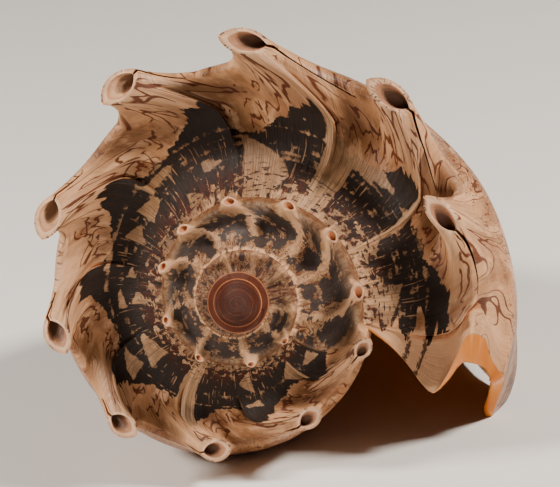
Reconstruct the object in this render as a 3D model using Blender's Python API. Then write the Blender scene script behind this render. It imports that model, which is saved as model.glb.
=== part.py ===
"""Volute shell: one coiled shell with open shoulder spines, lying on its aperture side.

The shell is worked out in its own growth frame, in millimetres. The coiling axis is Z with
the apex up. An age in degrees counts back from the present lip, and it also says how far
the section is turned round the axis. A row runs across the whorl: 0 at the suture, 1 at the
shoulder and 2 at the siphonal end. The finished mesh is turned to its resting pose.
"""
import math

import bpy
import numpy as np
from mathutils import Matrix, Vector

NAME = "shell"
MM = 0.001

# ---- driving dimensions: millimetres, and degrees of growth before the present lip ----
LIP_BEARING = -11.0        # bearing of the lip's shoulder notch round the axis
FOOT_Z = -172.0            # height of the siphonal end, below the apex
BODY_LENGTH = 150.0        # shoulder to siphonal end at the lip
LENGTH_DECAY = 0.10        # how fast that length falls with age, per radian
PROTOCONCH_RADIUS = 6.1
PROTOCONCH_RIM_Z = -1.9
PROTOCONCH_RISE = 3.4
WALL = 3.2                 # wall deep inside the last whorl
LIP_WALL = 1.6             # wall at the free edge of the lip
CALLUS = 0.8               # glaze over the earlier whorl inside the aperture
CAVITY_GAP = 2.0           # least width of the hollow, where its floor lies
FLOOR_WALL = 2.2           # shell below the lowest floor of the hollow
NOTCH_RISE = 8.0           # siphonal notch
NOTCH_FADE = 35.0          # degrees over which the notch fades with age
HOLLOW_TOP = -30.0         # the floor of the hollow is never above this

# age, radius of the shoulder
SHOULDER = ((-30, 61.0), (0, 61.0), (35, 61.8), (66, 61.6), (92, 61.2), (120, 58.0), (149, 53.0),
            (167, 50.4), (202, 47.0), (238, 43.0), (273, 38.7), (314, 34.0), (352, 31.2),
            (408, 28.3), (468, 25.0), (528, 20.8), (608, 17.0), (694, 14.9), (768, 14.0),
            (841, 12.3), (900, 10.8), (990, 8.8), (1080, 7.1))
# age, height of the shoulder
SHOULDER_DROP = ((-30, -22.6), (0, -22.0), (90, -19.6), (180, -17.2), (270, -14.2), (360, -11.4),
                 (540, -7.2), (720, -4.4), (900, -2.8), (1080, -2.0))
# share of the body length below the shoulder, radius as a share of the shoulder's
FLANK = ((0.0, 1.0), (0.05, 1.0), (0.12, 1.01), (0.22, 1.0), (0.38, 0.93), (0.55, 0.81),
         (0.72, 0.68), (0.86, 0.56), (1.0, 0.45), (1.15, 0.32), (1.35, 0.15), (1.55, 0.02))
# age, how much the flank swells out below the shoulder
SWELL = ((-30, 1.13), (5, 1.125), (30, 1.07), (55, 1.01), (80, 0.98), (110, 0.975), (140, 1.02),
         (185, 1.06), (360, 1.07))
SWELL_DEPTH = 0.14         # share of the body length at which the swell is full
# height, radius of the columella
COLUMELLA = ((0, 0.5), (-30, 3.0), (-60, 7.0), (-90, 8.4), (-120, 8.6), (-150, 8.0),
             (-166, 7.0), (-172, 6.2))
COLUMELLA_SPREAD = 1.6     # extra radius of the columella's newest growth
COLUMELLA_JOIN = 2.0       # rounding where the flank runs into the columella
COLUMELLA_FOLDS = ((-80, 2.0), (-92, 1.9), (-104, 1.6), (-115, 1.2))   # height, rise
FOLD_WIDTH = 2.6
FOLD_PITCH = 0.1           # millimetres that a fold drops for each degree of newer growth

# spines of the last whorl: age, length of the mouth, outward lean, height
SPINES = ((0, 8.0, 0.0, 5.5), (30, 10.0, -7.0, 8.5), (60, 10.5, 5.5, 9.5), (96, 10.5, 7.5, 9.5),
          (127, 9.0, 8.5, 9.0), (163, 9.0, 6.0, 8.5), (197, 7.8, 5.0, 7.5), (234, 7.0, 4.2, 6.5),
          (268, 6.0, 3.6, 5.5), (307, 5.4, 2.2, 5.0), (346, 4.0, 2.6, 4.0))
# ages of the small spines of the earlier whorls
OLD_SPINES = (376, 407, 434, 467, 499, 527, 566, 606, 653, 692, 724, 766, 801, 839)
OLD_SPINE_MOUTH = 0.11     # length of the mouth as a share of the shoulder's radius
OLD_SPINE_RISE = 0.12      # height, likewise
SPINE_REACH = (1.15, 0.95)         # foot of a spine along and across the shoulder, in mouths
SPINE_MOUTH_SHARE = (0.85, 0.62)   # how far the mouth is drawn in, along and across
SPINE_LEAN = 0.55                  # backward lean in mouths
SPINE_PIT = 0.5                    # depth of the mouth's floor as a share of the height
FOLD_HEIGHT = 0.07                 # height of a growth fold as a share of the radius
FOLD_STEP = 0.35                   # share of that height reached half way up the fold
FOLD_OUTWARD = 0.35                # share of the fold that swells outwards at the shoulder
FOLD_REACH = (12.0, 4.0)           # how far down the flank the outward and upward parts fade
FOLD_END = 400.0                   # age past which the ramp has no folds
CORNER = 0.03                      # rounding of the shoulder as a share of its radius
RAMP_DIP = 0.17                    # hollow of the ramp as a share of its width
LAST_AGE = 1080.0                  # three turns, from the lip back to the protoconch

# free edge of the lip: row, age
LIP_EDGE = ((0.0, 0.0), (0.25, -5.5), (0.5, -11.0), (0.72, -15.2), (0.82, -15.2), (0.9, -10.5),
            (0.96, -3.5), (1.0, 2.6), (1.045, 1.5), (1.12, -2.5), (1.15, -6.0), (1.2, -12.0),
            (1.244, -16.0), (1.34, -15.8), (1.5, -11.5), (1.7, -6.0), (2.0, -3.0))
LIP_BEVEL = ((0.0, 0.0), (0.86, 0.0), (0.95, -3.5), (1.0, -6.5), (1.06, -4.5), (1.15, -2.5),
             (1.3, 0.0), (2.0, 0.0))

# ---- resting pose, in degrees, from the hull of the finished shell ----
REST_PITCH = -13.0         # apex end raised
REST_ROLL = 4.1            # lip side lowered

# ---- mesh density ----
STEPS = 8                  # columns from one spine to the next, an even number
TAIL_STEPS = 2             # columns from the tenth spine to the full turn
RAMP_ROWS = (0.0, 0.14, 0.3, 0.46, 0.61, 0.74, 0.85, 0.935, 1.0)
RIM_ROWS = (0.045, 0.12)   # just below the shoulder, as shares of its radius
FLANK_ROWS = (0.06, 0.13, 0.23, 0.34, 0.46, 0.58, 0.7, 0.81, 0.91, 1.0)
FOOT_ROWS = 4              # across the siphonal end
PROTOCONCH_RINGS = ((1.0, 0.0), (0.93, 0.42), (0.72, 0.78), (0.38, 0.96))
# cavity: age behind the lip, share of the full wall
CAVITY_STEPS = ((0.6, 0.0), (4.0, 0.25)) + tuple((10.0 + 20.0 * k, min(1.0, 0.4 + 0.15 * k))
                                               for k in range(24))

TURN = STEPS * (len(SPINES) - 1) + TAIL_STEPS
HALF = STEPS // 2
CREST = len(RAMP_ROWS) - 1
LOW = CREST + len(RIM_ROWS)
FLANK_ROW_VALUES = np.linspace(1.15, 2.0, len(FLANK_ROWS))
ROW = np.concatenate([RAMP_ROWS, 1 + np.array(RIM_ROWS), FLANK_ROW_VALUES])
RIM = np.concatenate([np.zeros(CREST + 1), RIM_ROWS, np.full(len(FLANK_ROWS), RIM_ROWS[-1])])
SHARE = np.concatenate([np.zeros(LOW + 1), FLANK_ROWS])


def smooth_curve(points):
    """A function through the points with finite-difference slopes (cubic Hermite)."""
    xs, ys = (np.array(v, float) for v in zip(*sorted(points)))
    slopes = np.gradient(ys, xs)

    def value(x):
        x = np.clip(np.asarray(x, float), xs[0], xs[-1])
        i = np.clip(np.searchsorted(xs, x) - 1, 0, len(xs) - 2)
        step = xs[i + 1] - xs[i]
        t = (x - xs[i]) / step
        blend = t * t * (3 - 2 * t)
        bend = t * (1 - t) * step
        return ys[i] * (1 - blend) + ys[i + 1] * blend + bend * ((1 - t) * slopes[i] - t * slopes[i + 1])
    return value


shoulder_radius = smooth_curve(SHOULDER)
shoulder_height = smooth_curve(SHOULDER_DROP)
flank_share = smooth_curve(FLANK)
flank_swell = smooth_curve(SWELL)
columella_core = smooth_curve(COLUMELLA)
lip_edge = smooth_curve(LIP_EDGE)
lip_bevel = smooth_curve(LIP_BEVEL)


def ease(x):
    """Smooth step from 0 to 1."""
    x = np.clip(x, 0.0, 1.0)
    return x * x * (3 - 2 * x)


def soft_max(a, b, width):
    """The larger of two lengths, rounded where they cross."""
    return 0.5 * (a + b + np.sqrt((a - b) ** 2 + width ** 2))


def column_age(index):
    """Age of a growth column at the shoulder; each last-whorl spine falls on a column."""
    knots = [k * STEPS for k in range(len(SPINES))] + [TURN]
    ages = [spine[0] for spine in SPINES] + [360.0]
    turns = np.floor_divide(index, TURN)
    return np.interp(index - turns * TURN, knots, ages) + 360.0 * turns


def column_lag(index):
    """Whole columns by which a growth line has swept forward when it meets the suture."""
    fading = np.clip((2 * TURN - 1 - index) / (0.7 * TURN), 0.0, 1.0)
    return np.rint(HALF * fading).astype(int)


def columella_radius(age, height):
    """Radius of the pillar round the axis, a little wider in its newest growth."""
    return columella_core(height) + COLUMELLA_SPREAD * np.clip(1 - age / 360.0, 0.0, 1.0)


def flank_radius(age, height):
    """Outer radius of the section of one age at one height below its shoulder."""
    depth = shoulder_height(age) - height
    length = BODY_LENGTH * np.exp(-LENGTH_DECAY * np.radians(np.maximum(age, 0.0)))
    radius = shoulder_radius(age)
    corner = CORNER * radius
    inset = np.clip(1 - depth / corner, 0.0, 1.0)
    swell = 1 + (flank_swell(age) - 1) * ease(depth / length / SWELL_DEPTH)
    body = radius * swell * flank_share(depth / length) - corner * (1 - np.sqrt(1 - inset ** 2))
    return soft_max(body, columella_radius(age, height), COLUMELLA_JOIN)


def suture(age):
    """Radius and height of the seam on which the section of this age begins."""
    older = np.minimum(np.maximum(age, 0.0) + 360.0, LAST_AGE)
    height = shoulder_height(older) - RIM_ROWS[-1] * shoulder_radius(older)
    on_dome = age >= LAST_AGE - 360.0
    return (np.where(on_dome, PROTOCONCH_RADIUS, flank_radius(older, height)),
            np.where(on_dome, PROTOCONCH_RIM_Z, height))


def section(age, foot):
    """Radius, height and distance from the shoulder of the plain section, row by row."""
    rows = age.shape[-1]
    radius = shoulder_radius(age)
    crest_z = shoulder_height(age)
    seam_r, seam_z = suture(age)
    s = np.clip(ROW[:rows], 0, 1)
    width = (1 - CORNER) * radius - seam_r
    dip = RAMP_DIP * width * np.sin(math.pi * s ** 0.85) ** 1.2
    rim = RIM[:rows] * radius
    below = rim + SHARE[:rows] * (crest_z - foot - rim)
    on_flank = ROW[:rows] > 1
    z = np.where(on_flank, crest_z - below, seam_z + (crest_z - seam_z) * s - dip)
    r = np.where(on_flank, flank_radius(age, z), seam_r + width * s)
    return r, z, np.where(on_flank, below, (s - 1) * width)


def growth_fold(age, index):
    """Height of the folds: each former lip stands proud and the next growth starts below it."""
    row = ROW[:age.shape[-1]]
    rising = 1.0 - np.mod((index + HALF) / STEPS, 1.0)
    at_crest = FOLD_STEP * ease(2 * rising) + (1 - FOLD_STEP) * ease(5 * rising - 2.5)
    on_ramp = ease((row - 0.25) / 0.75)
    shape = ease(rising) * (1 - on_ramp) + at_crest * on_ramp
    shape = np.where(row > 1, 0.6 * np.sin(math.pi * rising) ** 2, shape)
    fading = ease((FOLD_END - age) / 60.0)
    return FOLD_HEIGHT * shoulder_radius(age) * shape * on_ramp * fading


def spine_table():
    """Age, mouth, lean and height of every spine, newest first."""
    old = []
    for age in OLD_SPINES:
        radius = float(shoulder_radius(age))
        old.append((age, OLD_SPINE_MOUTH * radius, 0.0, OLD_SPINE_RISE * radius))
    return list(SPINES) + old


def raise_spines(points, age, across):
    """Draw the open, back-leaning spines out of the shoulder."""
    bearing = np.radians(age + LIP_BEARING)
    nothing = np.zeros_like(bearing)
    back = np.stack([-np.sin(bearing), np.cos(bearing), nothing], axis=-1)
    out = np.stack([np.cos(bearing), np.sin(bearing), nothing], axis=-1)
    for spine_age, mouth, lean, rise in spine_table():
        along = np.radians(age - spine_age) * shoulder_radius(spine_age)
        span = np.hypot(along / (SPINE_REACH[0] * mouth), across / (SPINE_REACH[1] * mouth))
        wall = ease((1 - span) / 0.5)
        pit = SPINE_PIT if spine_age else 0.0
        climb = np.where(span > 0.5, wall, 1 - pit * (1 - ease(span / 0.5)))
        slide = SPINE_LEAN * mouth * wall ** 1.6 - along * (1 - SPINE_MOUTH_SHARE[0]) * wall
        shift = lean * wall - across * (1 - SPINE_MOUTH_SHARE[1]) * wall
        move = slide[..., None] * back + shift[..., None] * out
        move[..., 2] += rise * climb
        points = points + np.where((span < 1)[..., None], move, 0.0)
    return points


def surface_points(first, last, rows):
    """Points of the outer surface for a run of growth columns, as columns by rows."""
    index = np.arange(first, last)[:, None]
    row = ROW[None, :rows]
    sweep = 1 - np.clip(row, 0, 1) ** 3
    age = column_age(index - column_lag(index) * sweep)
    share = np.clip(index / HALF, 0, 1)
    near_lip = lip_edge(row) * (1 - share) + column_age(HALF - HALF * sweep) * share
    age = np.where(index < HALF, near_lip, age)
    r, z, across = section(age, FOOT_Z)
    below = np.maximum(across, 0)
    fold = growth_fold(age, index)
    outward = FOLD_OUTWARD * np.clip((row - 0.8) / 0.25, 0, 1)
    r = r + fold * outward * np.exp(-below / FOLD_REACH[0])
    z = z + fold * (1 - outward) * np.exp(-below / FOLD_REACH[1])
    bearing = np.radians(age + LIP_BEARING)
    points = np.stack([r * np.cos(bearing), r * np.sin(bearing), z], axis=-1)
    return raise_spines(points, age, across)


class ShellMesh:
    """Vertices and faces of the closed shell while it is put together."""

    def __init__(self):
        self.points = []
        self.faces = []

    def add(self, point):
        self.points.append(tuple(float(v) for v in point))
        return len(self.points) - 1

    def polar(self, radius, bearing, height):
        turn = math.radians(bearing)
        return self.add((radius * math.cos(turn), radius * math.sin(turn), height))

    def face(self, *corners):
        """One or two triangles between up to four corners, leaving out a repeated one."""
        kept = [v for i, v in enumerate(corners) if v not in corners[:i]]
        for k in range(1, len(kept) - 1):
            self.faces.append((kept[0], kept[k], kept[k + 1]))

    def strip(self, first, second):
        """Faces between two equally long lines of vertices."""
        for a, b, c, d in zip(first[:-1], first[1:], second[1:], second[:-1]):
            self.face(a, b, c, d)


def build_protoconch(mesh):
    """The domed first whorls; returns the ring of vertices round their rim."""
    bearings = column_age(np.arange(TURN)) + LIP_BEARING
    lines = []
    for share, climb in PROTOCONCH_RINGS:
        height = PROTOCONCH_RIM_Z + PROTOCONCH_RISE * climb
        line = [mesh.polar(PROTOCONCH_RADIUS * share, bearing, height) for bearing in bearings]
        lines.append(line)
    tip = mesh.add((0.0, 0.0, PROTOCONCH_RIM_Z + PROTOCONCH_RISE))
    lines.append([tip] * TURN)
    for outer, inner in zip(lines[:-1], lines[1:]):
        mesh.strip(inner + inner[:1], outer + outer[:1])
    return lines[0]


def build_whorls(mesh, ring):
    """The three turns of the outer surface; returns their columns of vertices."""
    columns = [[None] + [mesh.add(p) for p in column[1:]]
               for column in surface_points(0, TURN, len(ROW))]
    columns += [[None] + [mesh.add(p) for p in column[1:]]
                for column in surface_points(TURN, 3 * TURN, LOW + 1)]
    parietal = surface_points(TURN, TURN + 1, len(ROW))[0]
    columns[TURN] += [mesh.add(p) for p in parietal[LOW + 1:]]
    columns.append([ring[0]] * (LOW + 1))
    seam = [columns[i][LOW] for i in range(3 * TURN)] + ring + ring[:1]
    sources = []
    for i in range(3 * TURN + 1):
        source = i + TURN - int(column_lag(np.array(i)))
        sources.append(max(source, TURN))
        columns[i][0] = seam[sources[i]]
    for i in range(3 * TURN):
        newer, older = columns[i], columns[i + 1]
        rows = len(ROW) if i < TURN else LOW + 1
        mesh.strip(newer[1:rows], older[1:rows])
        edge = [seam[k] for k in range(sources[i], sources[i + 1] + 1)]
        mesh.face(edge[0], newer[1], older[1], edge[min(1, len(edge) - 1)])
        for k in range(1, len(edge) - 1):
            mesh.face(edge[k], older[1], edge[k + 1])
    return columns


def notch_height(age, share):
    """Height of the siphonal end across its width; it is notched where the canal opens."""
    fading = math.exp(-max(age, 0.0) / NOTCH_FADE)
    return FOOT_Z + NOTCH_RISE * fading * math.sin(math.pi * share)


def build_foot(mesh, columns):
    """The siphonal end, from the ring of column ends in to the columella."""
    columella_end = columns[TURN][-1]
    end_radius = math.hypot(*mesh.points[columella_end][:2])
    lines = []
    for i in range(TURN + 1):
        x, y, _ = mesh.points[columns[i][-1]]
        start_radius = math.hypot(x, y)
        bearing = math.degrees(math.atan2(y, x))
        age = float(column_age(np.array(i)))
        line = [columns[i][-1]]
        for k in range(1, FOOT_ROWS):
            share = k / FOOT_ROWS
            radius = start_radius + (end_radius - start_radius) * share
            if i < TURN:
                line.append(mesh.polar(radius, bearing, notch_height(age, share)))
            else:
                line.append(columella_end)
        if i in (0, TURN):
            line.append(columella_end)
        else:
            line.append(mesh.polar(end_radius, age + LIP_BEARING, FOOT_Z))
        lines.append(line)
    for first, second in zip(lines[:-1], lines[1:]):
        mesh.strip(first, second)
    ring = [line[-1] for line in lines]
    centre = mesh.add((0.0, 0.0, FOOT_Z - 0.5))
    mesh.strip([centre] * len(ring), ring)
    return lines[0]


def cavity_floor(age):
    """Height of the floor of the hollow: as low as it stays wide enough."""
    for height in np.arange(FOOT_Z + FLOOR_WALL, HOLLOW_TOP, 1.0):
        outer = float(flank_radius(np.array(age), height)) - WALL
        inner = float(flank_radius(np.array(age + 360.0), height)) + CALLUS
        if outer - inner > CAVITY_GAP:
            return height
    return HOLLOW_TOP


def inset_section(age, foot, wall):
    """The plain section moved inwards by the wall thickness."""
    r, z, _ = section(age, foot)
    slope_r = np.gradient(r)
    slope_z = np.gradient(z)
    length = np.hypot(slope_r, slope_z)
    return r + wall * slope_z / length, z - wall * slope_r / length


def build_cavity(mesh, columns, foot_line):
    """The hollow of the last whorl, from the aperture's edge to its closed inner end."""
    lip = columns[0][1:]
    parietal = columns[TURN][LOW:][::-1]
    loop = lip + foot_line[1:-1] + parietal
    previous = loop
    rows = len(ROW)
    for depth, fullness in CAVITY_STEPS:
        open_share = max(0.0, 1 - depth / 30.0)
        age = depth + (lip_edge(ROW) + lip_bevel(ROW)) * open_share
        wall = LIP_WALL + (WALL - LIP_WALL) * fullness
        floor = cavity_floor(depth) if depth > 1 else FOOT_Z + 1.0
        r, z = inset_section(age, floor, wall)
        seam_r, seam_z = suture(np.array(depth))
        inner_r = flank_radius(age + 360.0, z) + CALLUS + 0.4
        r = np.maximum(r, inner_r)
        z[-1] = floor
        points = [(r[j], age[j], z[j]) for j in range(1, rows)]
        top = float(seam_z) - 1.2 * wall * (0.3 + 0.7 * fullness)
        inner = []
        for j in range(rows - 1, LOW - 1, -1):
            share = SHARE[j]
            height = top + (floor - top) * share
            radius = float(flank_radius(np.array(depth + 360.0), height)) + CALLUS * min(1.0, depth)
            inner.append((radius + fold_height(depth, height), depth, height))
        for k in range(1, FOOT_ROWS):
            share = k / FOOT_ROWS
            ends = points[rows - 2], inner[0]
            radius = ends[0][0] * (1 - share) + ends[1][0] * share
            bearing_age = ends[0][1] * (1 - share) + ends[1][1] * share
            points.append((radius, bearing_age, notch_height(depth, share) - FOOT_Z + floor))
        line = [mesh.polar(radius, a + LIP_BEARING, height) for radius, a, height in points + inner]
        mesh.strip(previous + previous[:1], line + line[:1])
        previous = line
    middle = np.mean([mesh.points[v] for v in previous], axis=0)
    end = mesh.add(middle)
    mesh.strip(previous + previous[:1], [end] * (len(previous) + 1))


def fold_height(age, height):
    """Rise of the columella's slanting folds above its surface."""
    total = 0.0
    for fold_z, rise in COLUMELLA_FOLDS:
        total += rise * math.exp(-((height - fold_z - FOLD_PITCH * age) / FOLD_WIDTH) ** 2)
    return total * min(1.0, age / 4.0)


def resting_matrix(points):
    """Turn the growth frame to the resting pose, its box's bottom centre on the origin."""
    lay_down = Matrix.Rotation(math.radians(90), 4, 'X')
    pitch = Matrix.Rotation(math.radians(REST_PITCH), 4, 'X')
    roll = Matrix.Rotation(math.radians(REST_ROLL), 4, 'Y')
    turn = pitch @ roll @ lay_down
    turned = [turn @ Vector(p) for p in points]
    low = [min(p[k] for p in turned) for k in range(3)]
    high = [max(p[k] for p in turned) for k in range(3)]
    centre = Vector(((low[0] + high[0]) / 2, (low[1] + high[1]) / 2, low[2]))
    return Matrix.Scale(MM, 4) @ Matrix.Translation(-centre) @ turn


def shell_material():
    material = bpy.data.materials.new("shell_surface")
    material.use_nodes = True
    surface = material.node_tree.nodes["Principled BSDF"]
    surface.inputs["Base Color"].default_value = (0.46, 0.30, 0.19, 1.0)
    surface.inputs["Roughness"].default_value = 0.35
    surface.inputs["Metallic"].default_value = 0.0
    return material


def build_shell():
    mesh = ShellMesh()
    ring = build_protoconch(mesh)
    columns = build_whorls(mesh, ring)
    foot_line = build_foot(mesh, columns)
    build_cavity(mesh, columns, foot_line)
    data = bpy.data.meshes.new(NAME)
    data.from_pydata(mesh.points, [], mesh.faces)
    data.transform(resting_matrix(mesh.points))
    data.validate()
    return data


def main():
    for old in list(bpy.data.objects):
        bpy.data.objects.remove(old, do_unlink=True)
    collection = bpy.data.collections.new("volute_shell")
    bpy.context.scene.collection.children.link(collection)
    shell = bpy.data.objects.new(NAME, build_shell())
    collection.objects.link(shell)
    shell.data.materials.append(shell_material())
    bpy.context.view_layer.objects.active = shell
    shell.select_set(True)
    bpy.ops.object.mode_set(mode='EDIT')
    bpy.ops.mesh.select_all(action='SELECT')
    bpy.ops.mesh.normals_make_consistent(inside=False)
    bpy.ops.object.mode_set(mode='OBJECT')
    shell.data.shade_smooth()


main()
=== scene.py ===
"""Volute shell: the finished look of a large spined shell lying on its aperture side.

The surface follows the shell's own growth. The coiling axis is Z with the apex up, in
millimetres. A growth line has an index, 0 at the lip and TURN for each whorl back, and a row
across the whorl: 0 at the suture, CREST at the shoulder, LOW where the next whorl covers it,
FOOT at the siphonal end. The mesh is closed in that frame and then laid down to rest.
"""
import math

import bpy
import numpy as np
from mathutils import Matrix, Vector


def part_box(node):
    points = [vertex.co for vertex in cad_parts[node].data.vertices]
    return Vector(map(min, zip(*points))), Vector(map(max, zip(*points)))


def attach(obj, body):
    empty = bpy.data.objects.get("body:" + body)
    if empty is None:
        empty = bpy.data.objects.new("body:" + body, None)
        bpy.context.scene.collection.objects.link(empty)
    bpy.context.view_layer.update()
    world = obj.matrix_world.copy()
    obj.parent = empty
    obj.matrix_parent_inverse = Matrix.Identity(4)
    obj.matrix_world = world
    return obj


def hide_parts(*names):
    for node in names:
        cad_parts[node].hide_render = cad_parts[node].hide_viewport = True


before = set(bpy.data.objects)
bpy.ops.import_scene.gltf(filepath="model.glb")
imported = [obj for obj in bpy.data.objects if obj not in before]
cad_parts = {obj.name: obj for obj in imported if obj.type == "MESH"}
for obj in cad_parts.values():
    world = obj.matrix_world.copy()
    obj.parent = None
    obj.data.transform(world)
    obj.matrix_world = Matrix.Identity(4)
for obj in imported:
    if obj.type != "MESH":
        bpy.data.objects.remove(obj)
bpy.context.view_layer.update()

bl_info = {
    "name": "Volute Shell",
    "version": (1, 0, 0),
    "blender": (4, 5, 0),
    "location": "View3D > Sidebar > Volute Shell",
    "description": "Builds a spined volute shell with its growth folds, markings and stage",
    "category": "Add Mesh",
}

MM = 0.001

# ---- growth columns and rows ----
STEPS = 48                 # columns from one spine of the last whorl to the next
TAIL = 12                  # columns from the tenth spine to the full turn
LAG = 24                   # columns that a growth line sweeps forward down to the suture
TURN = 10 * STEPS + TAIL
CREST = 48
RIM_COUNT = 12
LOW = CREST + RIM_COUNT
FLANK_COUNT = 40
FOOT = LOW + FLANK_COUNT
FOOT_ROWS = 6
WHORL_STRIDES = (1, 2, 4)  # the earlier whorls are smaller and keep every second or fourth row

# ---- shape: millimetres, and degrees of growth before the present lip ----
LIP_BEARING = -11.0
FOOT_Z = -172.0
BODY_LENGTH = 150.0
LENGTH_DECAY = 0.10
LAST_AGE = 1080.0
LOW_SHARE = 0.12           # depth of row LOW below the shoulder as a share of its radius
CORNER = 0.03
RAMP_DIP = 0.17
RIB_HEIGHT = 0.052         # ribs of the earlier whorls as a share of the shoulder's radius
SCALLOP = 0.035            # how far their shoulder draws in between the small spines
FOLD_HEIGHT = 0.075        # step at a former lip as a share of the radius
SCOOP_DEPTH = 0.034
CREVICE = 0.9              # extra depth right under a former lip
SHOULDER = ((-30, 61.0), (0, 61.0), (35, 61.8), (66, 61.6), (92, 61.2), (120, 58.0), (149, 53.0),
            (167, 50.4), (202, 47.0), (238, 43.0), (273, 38.7), (314, 34.0), (352, 31.2),
            (408, 28.3), (468, 25.0), (528, 20.8), (608, 17.0), (694, 14.9), (768, 14.0),
            (841, 12.3), (900, 10.8), (990, 8.8), (1080, 7.1))
SHOULDER_DROP = ((-30, -22.6), (0, -22.0), (90, -19.6), (180, -17.2), (270, -14.2), (360, -11.4),
                 (540, -7.2), (720, -4.4), (900, -2.8), (1080, -2.0))
FLANK = ((0.0, 1.0), (0.05, 1.0), (0.12, 1.01), (0.22, 1.0), (0.38, 0.93), (0.55, 0.81),
         (0.72, 0.68), (0.86, 0.56), (1.0, 0.45), (1.15, 0.32), (1.35, 0.15), (1.55, 0.02))
SWELL = ((-30, 1.13), (5, 1.125), (30, 1.07), (55, 1.01), (80, 0.98), (110, 0.975), (140, 1.02),
         (185, 1.06), (360, 1.07))
SWELL_DEPTH = ((-30, 0.07), (4, 0.075), (22, 0.10), (40, 0.14), (360, 0.14))
COLUMELLA = ((0, 0.5), (-30, 3.0), (-60, 7.0), (-90, 8.4), (-120, 8.6), (-150, 8.0),
             (-166, 7.0), (-172, 6.2))
COLUMELLA_SPREAD = 1.6
COLUMELLA_JOIN = 2.0
COLUMELLA_FOLDS = ((-80, 2.2), (-92, 2.1), (-104, 1.8), (-115, 1.3))
FOLD_WIDTH = 2.4
FOLD_PITCH = 0.1
NOTCH_RISE = 8.0
NOTCH_FADE = 35.0
LIP_EDGE = ((0.0, 0.0), (0.25, -5.9), (0.5, -11.2), (0.7, -14.9), (0.79, -15.5), (0.828, -14.9),
            (0.846, -13.2), (0.862, -10.0), (0.876, -6.2), (0.89, -4.0), (0.91, -2.7), (0.94, -1.9),
            (1.0, -1.4), (1.045, -2.2),
            (1.09, -3.6), (1.122, -5.4), (1.168, -9.4), (1.2, -12.2), (1.237, -15.2),
            (1.258, -16.9), (1.29, -16.2), (1.325, -14.6), (1.4, -12.2), (1.5, -10.4), (1.7, -6.0),
            (2.0, -3.0))
LIP_BEVEL = ((0.0, 0.0), (0.84, 0.0), (0.89, -2.8), (0.94, -4.1), (1.0, -4.5), (1.045, -4.0),
             (1.09, -4.4), (1.122, -3.8), (1.168, -2.6), (1.237, -1.2), (1.3, 0.0), (2.0, 0.0))
LIP_FLARE = (4.8, 42.0, 12.5)   # the lip's side lobe stands out: how far, at which depth, spread
LIP_WALLS = ((0.0, 1.8), (0.7, 1.8), (0.9, 1.2), (1.0, 2.2), (1.1, 3.2), (1.2, 2.8), (1.3, 2.0),
             (2.0, 1.6))
NOTCH_ARCH = ((0.0, 0.0), (0.82, 0.0), (0.85, 0.25), (0.89, 0.65), (0.94, 0.85), (1.0, 0.9),
              (1.045, 1.05), (1.1, 0.8), (1.122, 0.3), (1.2, 0.0), (2.0, 0.0))
ARCH_OUT = 2.4             # how far the arch inside the notch stands out, and down
ARCH_DOWN = 2.0
PROTOCONCH_RADIUS = 6.1
PROTOCONCH_RIM_Z = -1.9
PROTOCONCH_DOME = ((0.0, 3.4), (0.2, 3.36), (0.45, 3.1), (0.7, 2.45), (0.88, 1.5), (0.97, 0.6),
                   (1.0, 0.0))
PROTOCONCH_RINGS = 44
PROTOCONCH_PITCH = 1.75    # millimetres between its grooved whorls
WALL = 3.2
CALLUS = 0.8
CAVITY_GAP = 2.0
FLOOR_WALL = 2.2
HOLLOW_TOP = -30.0
LIP_ROUND = 1.0            # how far the lip's edge rounds forward
LIP_ROUNDING = (0.1, 0.16, 0.22, 0.3, 0.4, 0.5, 0.6, 0.7, 0.8, 0.9)
CAVITY_DEPTHS = (1.5, 3.0, 5.0, 7.5, 10.5, 14.0, 18.0, 23.0, 29.0, 36.0, 44.0, 53.0, 63.0, 74.0, 86.0,
                 99.0, 113.0, 128.0, 144.0, 161.0, 179.0, 198.0, 218.0, 239.0, 261.0, 284.0)
FIRST_DEPTH = 0.6          # degrees from the lip to the first loop of the hollow
HOLLOW_END = -400          # growth column given to the point that closes the hollow
NOTCH_SPINE = (8.0, 5.5)   # length and rise of the half-made spine over the lip's notch

# spines of the last whorl. Age of the column it grows from; age, radius and height above the
# shoulder of its mouth's middle; length and width of the mouth; how far its tip turns inwards
# in degrees; columns from it to the ridge of its former lip, and along its closed slit
SPINES = ((30, 33.8, 55.0, 6.5, 14.0, 6.2, 20, 29, 19),
          (60, 65.0, 63.8, 8.0, 14.5, 7.0, 2, 16, 15),
          (96, 100.0, 65.2, 8.5, 14.0, 6.8, -10, 13, 21),
          (127, 130.8, 62.0, 8.0, 12.2, 7.2, 15, 12, 11),
          (163, 168.0, 53.2, 7.5, 11.8, 7.2, 8, 6, 9),
          (197, 202.0, 47.8, 7.0, 10.8, 6.8, 20, 7, 8),
          (234, 237.4, 43.8, 6.2, 9.4, 6.4, 9, 7, 7),
          (268, 271.6, 38.6, 5.4, 8.8, 6.0, 20, 5, 7),
          (307, 311.5, 34.4, 4.6, 8.2, 5.4, 10, 12, 7),
          (346, 350.0, 33.2, 3.8, 6.8, 4.4, -15, 12, 5))
SPINE_REACH = 18           # columns and rows from a spine's middle to its foot
SPINE_RIM = 8              # ring of the mouth's rim
SPINE_FORWARD = 4          # columns that the foot lies forward of the spine's age
SPINE_FLARE = 1.6
RIM_WALL = 1.35            # thickness of the shell at the mouth
THROAT_DEPTH = 4.6
SLIT_DEPTH = 2.3
SLIT_HALF = 0.6
SLIT_DRIFT = {0: 1.5, 1: 8.5, 2: 3.0}   # rows by which the slits of these spines drift inwards
DRIFT_ROWS = (24, 15)      # rows that give way to it on the ramp and on the side
DRIFT_FADE = 12            # columns in which the rows come back after the slit
OLD_SPINES = (376, 407, 434, 467, 499, 527, 566, 606, 653, 692, 724, 766, 801, 839)
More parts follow.
